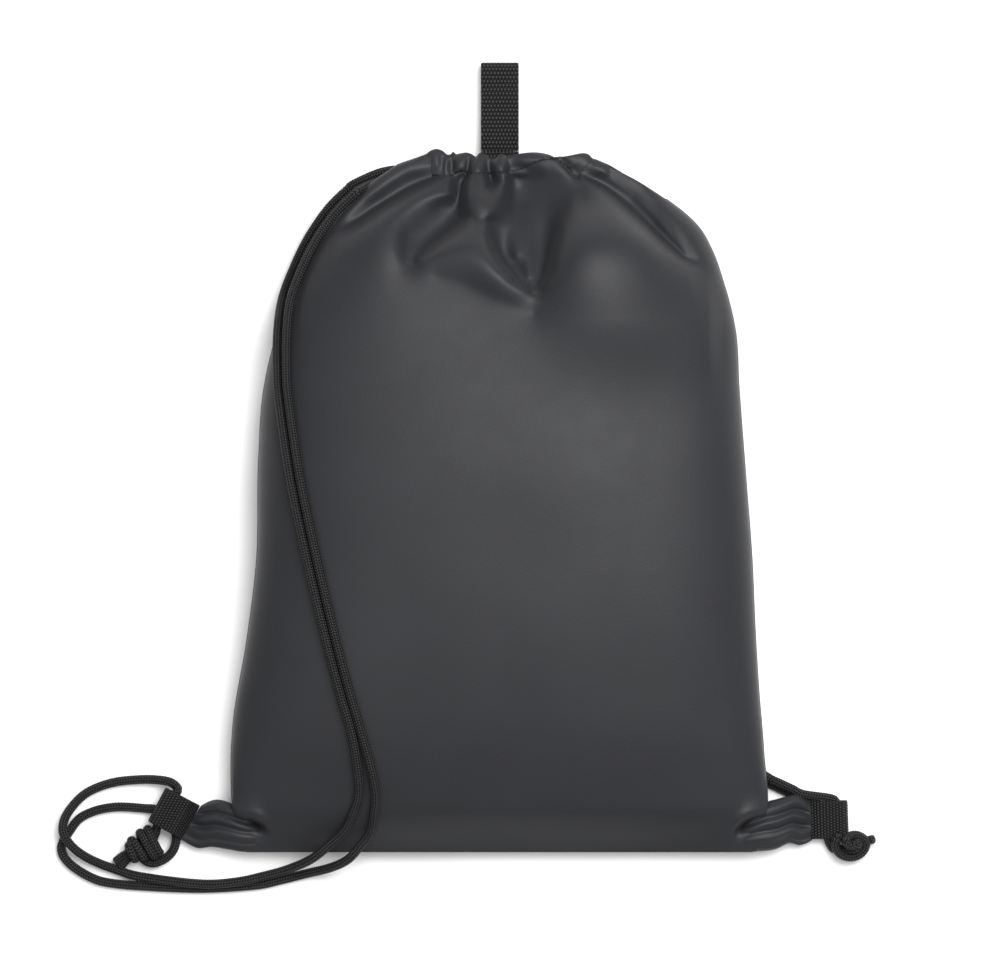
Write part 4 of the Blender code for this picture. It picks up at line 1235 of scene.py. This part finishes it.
def strap(name, middle, hinge, heading, weave):
    """Woven webbing along a middle line of (out, up) points, square to the way it points."""
    out = np.array((math.cos(heading), math.sin(heading), 0.0))
    side = np.array((-out[1], out[0], 0.0))
    up = np.array((0.0, 0.0, 1.0))
    along = np.gradient(middle, axis=0)
    along /= np.linalg.norm(along, axis=1)[:, None]
    normal = np.column_stack([along[:, 1], -along[:, 0]])
    walked = lengths_along(middle)
    w = np.linspace(-WEBBING_WIDTH / 2, WEBBING_WIDTH / 2, WEAVE_POINTS)
    edge = np.sqrt(np.clip((WEBBING_WIDTH / 2 - np.abs(w)) / SELVEDGE, 0.08, 1))
    relief = weave_relief(walked[:, None] / weave[0], w[None, :] / weave[1])
    half = (WEBBING / 2 - WEAVE_RELIEF + WEAVE_RELIEF * relief) * edge[None, :]
    both = []
    for face in (1, -1):
        flat = middle[:, None, :] + normal[:, None, :] * (face * half)[:, :, None]
        sheet = flat[..., 0:1] * out + flat[..., 1:2] * up + w[None, :, None] * side
        both.append(sheet + np.array(hinge))
    ring = np.concatenate([both[0], both[1][:, ::-1]], axis=1)
    rows, columns = ring.shape[:2]
    faces = grid_faces(rows, columns, wrap=True)
    before = np.concatenate([w, w[::-1]]) / weave[1]
    uvs = corner_uvs(faces, columns, walked / weave[0], before, np.roll(before, -1))
    uvs = np.vstack([uvs.reshape(-1, 2), np.full((2 * columns, 2), 0.5)])
    faces = [tuple(f) for f in faces] + [end[::-1] for end in ring_ends(rows, columns)]
    piece = mesh_piece(name, ring.reshape(-1, 3), faces, MATERIALS["webbing"], uvs)
    return piece


def lay_webbing():
    """The hanging loop with its sewn root between the hems, and the two tabs."""
    heading = math.radians(90)
    loop = strap("hanging_loop", strap_middle(**LOOP_SHAPE), LOOP_HINGE, heading, LOOP_WEAVE)
    settle(loop, "hang_loop", "hang_loop")
    root = smooth_route(LOOP_ROOT, STRAP_STEP)[:, :2]
    settle(strap("hanging_loop_root", root, LOOP_HINGE, heading, LOOP_WEAVE), "bag")
    for side, tab in (("left", LEFT_TAB), ("right", RIGHT_TAB)):
        middle = strap_middle(**TAB_SHAPES[side])
        band = strap(f"{side}_tab_band", middle, tab["hinge"], tab["heading"], TAB_WEAVE)
        settle(band, f"{side}_tab", f"{side}_tab")


lay_webbing()


# ======== the gathered corners
# Each corner's upper and lower edge in plan, and its creases as (place across, depth, width)
EAR_EDGES = mm({
    "left": {
        "top": (
            (-160, -238), (-168, -234), (-175.2, -229.8), (-181, -227.6), (-186.2, -227), (-191.5, -228.5),
            (-196.3, -231.2),
        ),
        "bottom": (
            (-146, -258), (-156, -260.5), (-167.3, -261.5), (-179, -259.8), (-189.1, -258.4), (-199, -259.1),
            (-209.8, -253.4),
        ),
    },
    "right": {
        "top": (
            (162, -240), (169, -235), (178.5, -228.4), (184, -226.8), (190, -225.2), (198.5, -223.2),
            (203.5, -225), (207.8, -229.2),
        ),
        "bottom": (
            (150, -258), (160, -260.8), (174, -261.1), (184, -259.8), (193, -256), (199.5, -257.3),
            (204.5, -256.2), (208.2, -254),
        ),
    },
})
EAR_CREASES = {
    "left": (
        (0.08, 0.0014, 0.05), (0.26, -0.0036, 0.045), (0.4, 0.0026, 0.05), (0.54, -0.003, 0.04),
        (0.68, 0.0016, 0.06), (0.84, -0.0016, 0.04),
    ),
    "right": (
        (0.12, 0.002, 0.06), (0.3, -0.0032, 0.045), (0.44, 0.0022, 0.045), (0.6, -0.0034, 0.04),
        (0.76, 0.0018, 0.05), (0.9, -0.0016, 0.04),
    ),
}
# Half their height and the height of their middle, by the share of the way to the tab
EAR_HALF_HEIGHT = (
    (0.0, 0.0045), (0.15, 0.0085), (0.4, 0.0095), (0.65, 0.0074), (0.85, 0.0044), (1.0, 0.002),
)
EAR_MIDDLE = ((0.0, 0.0085), (0.15, 0.0112), (0.4, 0.0122), (0.65, 0.01), (0.85, 0.0074), (1.0, 0.0062))
EAR_RINGS = 72
EAR_SIDES = 96
EAR_LOWEST = 0.0006


def ear(side):
    """A bottom corner of the bag, gathered into its tab: a flat lobe with creases that fan out from it."""
    edges = []
    shares = np.linspace(0, 1, EAR_RINGS)
    for edge in ("top", "bottom"):
        path = evenly(smooth_route([(x, y, 0.0) for x, y in EAR_EDGES[side][edge]], 0.001), 0.0004)
        walked = lengths_along(path)
        edges.append(np.column_stack([np.interp(shares * walked[-1], walked, path[:, k]) for k in (0, 1)]))
    halves, middles = through(EAR_HALF_HEIGHT, shares), through(EAR_MIDDLE, shares)
    verts = []
    for t, top, bottom, half, middle in zip(shares, *edges, halves, middles):
        reach = (0.25 + 0.75 * t) * min(1, (1.02 - t) * 8)
        for angle in np.arange(EAR_SIDES) * math.tau / EAR_SIDES:
            across = 0.5 - 0.5 * math.cos(angle)
            rise = math.sin(angle)
            x, y = top + (bottom - top) * across
            crease = 0.0
            for place, depth, width in EAR_CREASES[side]:
                spread = place + (0.5 - place) * 0.15 * (1 - t)
                crease += depth * math.exp(-((across - spread) / width) ** 2) * reach
            z = middle + half * abs(rise) ** 0.75 * (1 if rise > 0 else -1) + crease * max(rise, 0.0)
            verts.append((x, y, max(z, EAR_LOWEST)))
    faces = [tuple(f) for f in grid_faces(EAR_RINGS, EAR_SIDES, wrap=True)]
    faces += ring_ends(EAR_RINGS, EAR_SIDES)
    piece = mesh_piece(f"{side}_ear", verts, faces, MATERIALS["bag_fabric"])
    fix = bmesh.new()
    fix.from_mesh(piece.data)
    bmesh.ops.recalc_face_normals(fix, faces=fix.faces)
    fix.to_mesh(piece.data)
    fix.free()
    settle(piece, "bag", f"{side}_corner")


ear("left")
ear("right")


# ======== seams and stitches
SEAM_RADIUS = 0.0006
STITCH_LENGTH = 0.0022
STITCH_PITCH = 0.0031
THREAD = 0.00055
STITCH_STEPS = 7
# A stitch stands this far out of the cloth in its middle, and sinks this far at its ends
STITCH_RISE = 0.0002
STITCH_DIP = 0.0006
STITCH_ROW_ENDS = (-0.0393, 0.052)
# The side seams run from just above the bottom one to where the neck begins to gather
SEAM_Y = (BOTTOM_Y + 0.002, 0.17)
BOTTOM_SEAM_X = (-0.166, 0.169)
SEAM_INSET = 0.0002
END_STITCHES = mm((
    ((-45.5, 196.8), (-42.4, 194.5), (-41.8, 191), (-39.3, 186.8)),
    ((62, 195.5), (59, 192), (56, 188.5), (52.7, 184.5)),
))


def tube(path, radius, sides):
    """Vertices and faces of a plain tube along a path."""
    verts = rings_round(path, np.arange(sides) * math.tau / sides, radius)
    faces = [tuple(f) for f in grid_faces(len(path), sides, wrap=True)[:, ::-1]]
    return verts, faces + ring_ends(len(path), sides)


def seam_binding(side, path, replaced):
    """One bound seam, as a thin tube along its path."""
    seam = mesh_piece(f"{side}_seam_binding", *tube(path, SEAM_RADIUS, 8), MATERIALS["seam_tape"])
    settle(seam, "bag", replaced)


def seams():
    """The bound seam that joins the two sides of the bag, along each side and the bottom."""
    ys = np.linspace(*SEAM_Y, 120)
    for side, edge, out in (("left", LEFT_EDGE, -1), ("right", RIGHT_EDGE, 1)):
        path = np.column_stack([through(edge, ys) - out * SEAM_INSET, ys, through(SEAM, ys)])
        seam_binding(side, path, f"{side}_side_seam")
    xs = np.linspace(*BOTTOM_SEAM_X, 100)
    path = np.column_stack([xs, np.full(100, BOTTOM_Y + SEAM_INSET), np.full(100, SEAM[0][1])])
    seam_binding("bottom", path, "bottom_seam")


def stitches(side, lines, pieces, outwards_z):
    """Rows of stitches on the cloth along lines in plan; outwards_z is 1 on the front and -1 on the back."""
    trees = ray_trees(pieces)
    look = Vector((0, 0, -outwards_z))
    verts, faces = [], []
    for line in lines:
        path = smooth_route([(x, y, 0.0) for x, y in line], 0.0002)
        walked = lengths_along(path)
        for first in np.arange(0.0004, walked[-1] - STITCH_LENGTH, STITCH_PITCH):
            points = []
            for share in np.linspace(0, 1, STITCH_STEPS):
                at = first + share * STITCH_LENGTH
                x, y = np.interp(at, walked, path[:, 0]), np.interp(at, walked, path[:, 1])
                hits = [tree.ray_cast(Vector((x, y, RAY_START * outwards_z)), look)[0] for tree in trees]
                heights = [hit.z * outwards_z for hit in hits if hit is not None]
                if not heights:
                    break
                raised = STITCH_RISE - STITCH_DIP * (2 * share - 1) ** 4
                points.append((x, y, (max(heights) + raised) * outwards_z))
            if len(points) == STITCH_STEPS:
                more, more_faces = tube(np.array(points), THREAD / 2, 6)
                faces += [tuple(i + len(verts) for i in f) for f in more_faces]
                verts += list(more)
    piece = mesh_piece(f"{side}_stitches", verts, faces, MATERIALS["thread"])
    settle(piece, "bag", f"{side}_hem_stitching")


seams()
stitch_row = [(float(x), float(through(STITCH_LINE, x))) for x in np.linspace(*STITCH_ROW_ENDS, 60)]
stitches("front", [stitch_row, *END_STITCHES], (front_cloth, front_hem_cloth), 1)
stitches("back", [stitch_row], (back_cloth, back_hem_cloth), -1)


# ======== the pieces on their bodies
for side, panel, hem, rests_on in (
    ("front", front_cloth, front_hem_cloth, ["back_panel"]), ("back", back_cloth, back_hem_cloth, []),
):
    settle(panel, "bag", f"{side}_panel")
    settle(hem, "bag", f"{side}_hem")
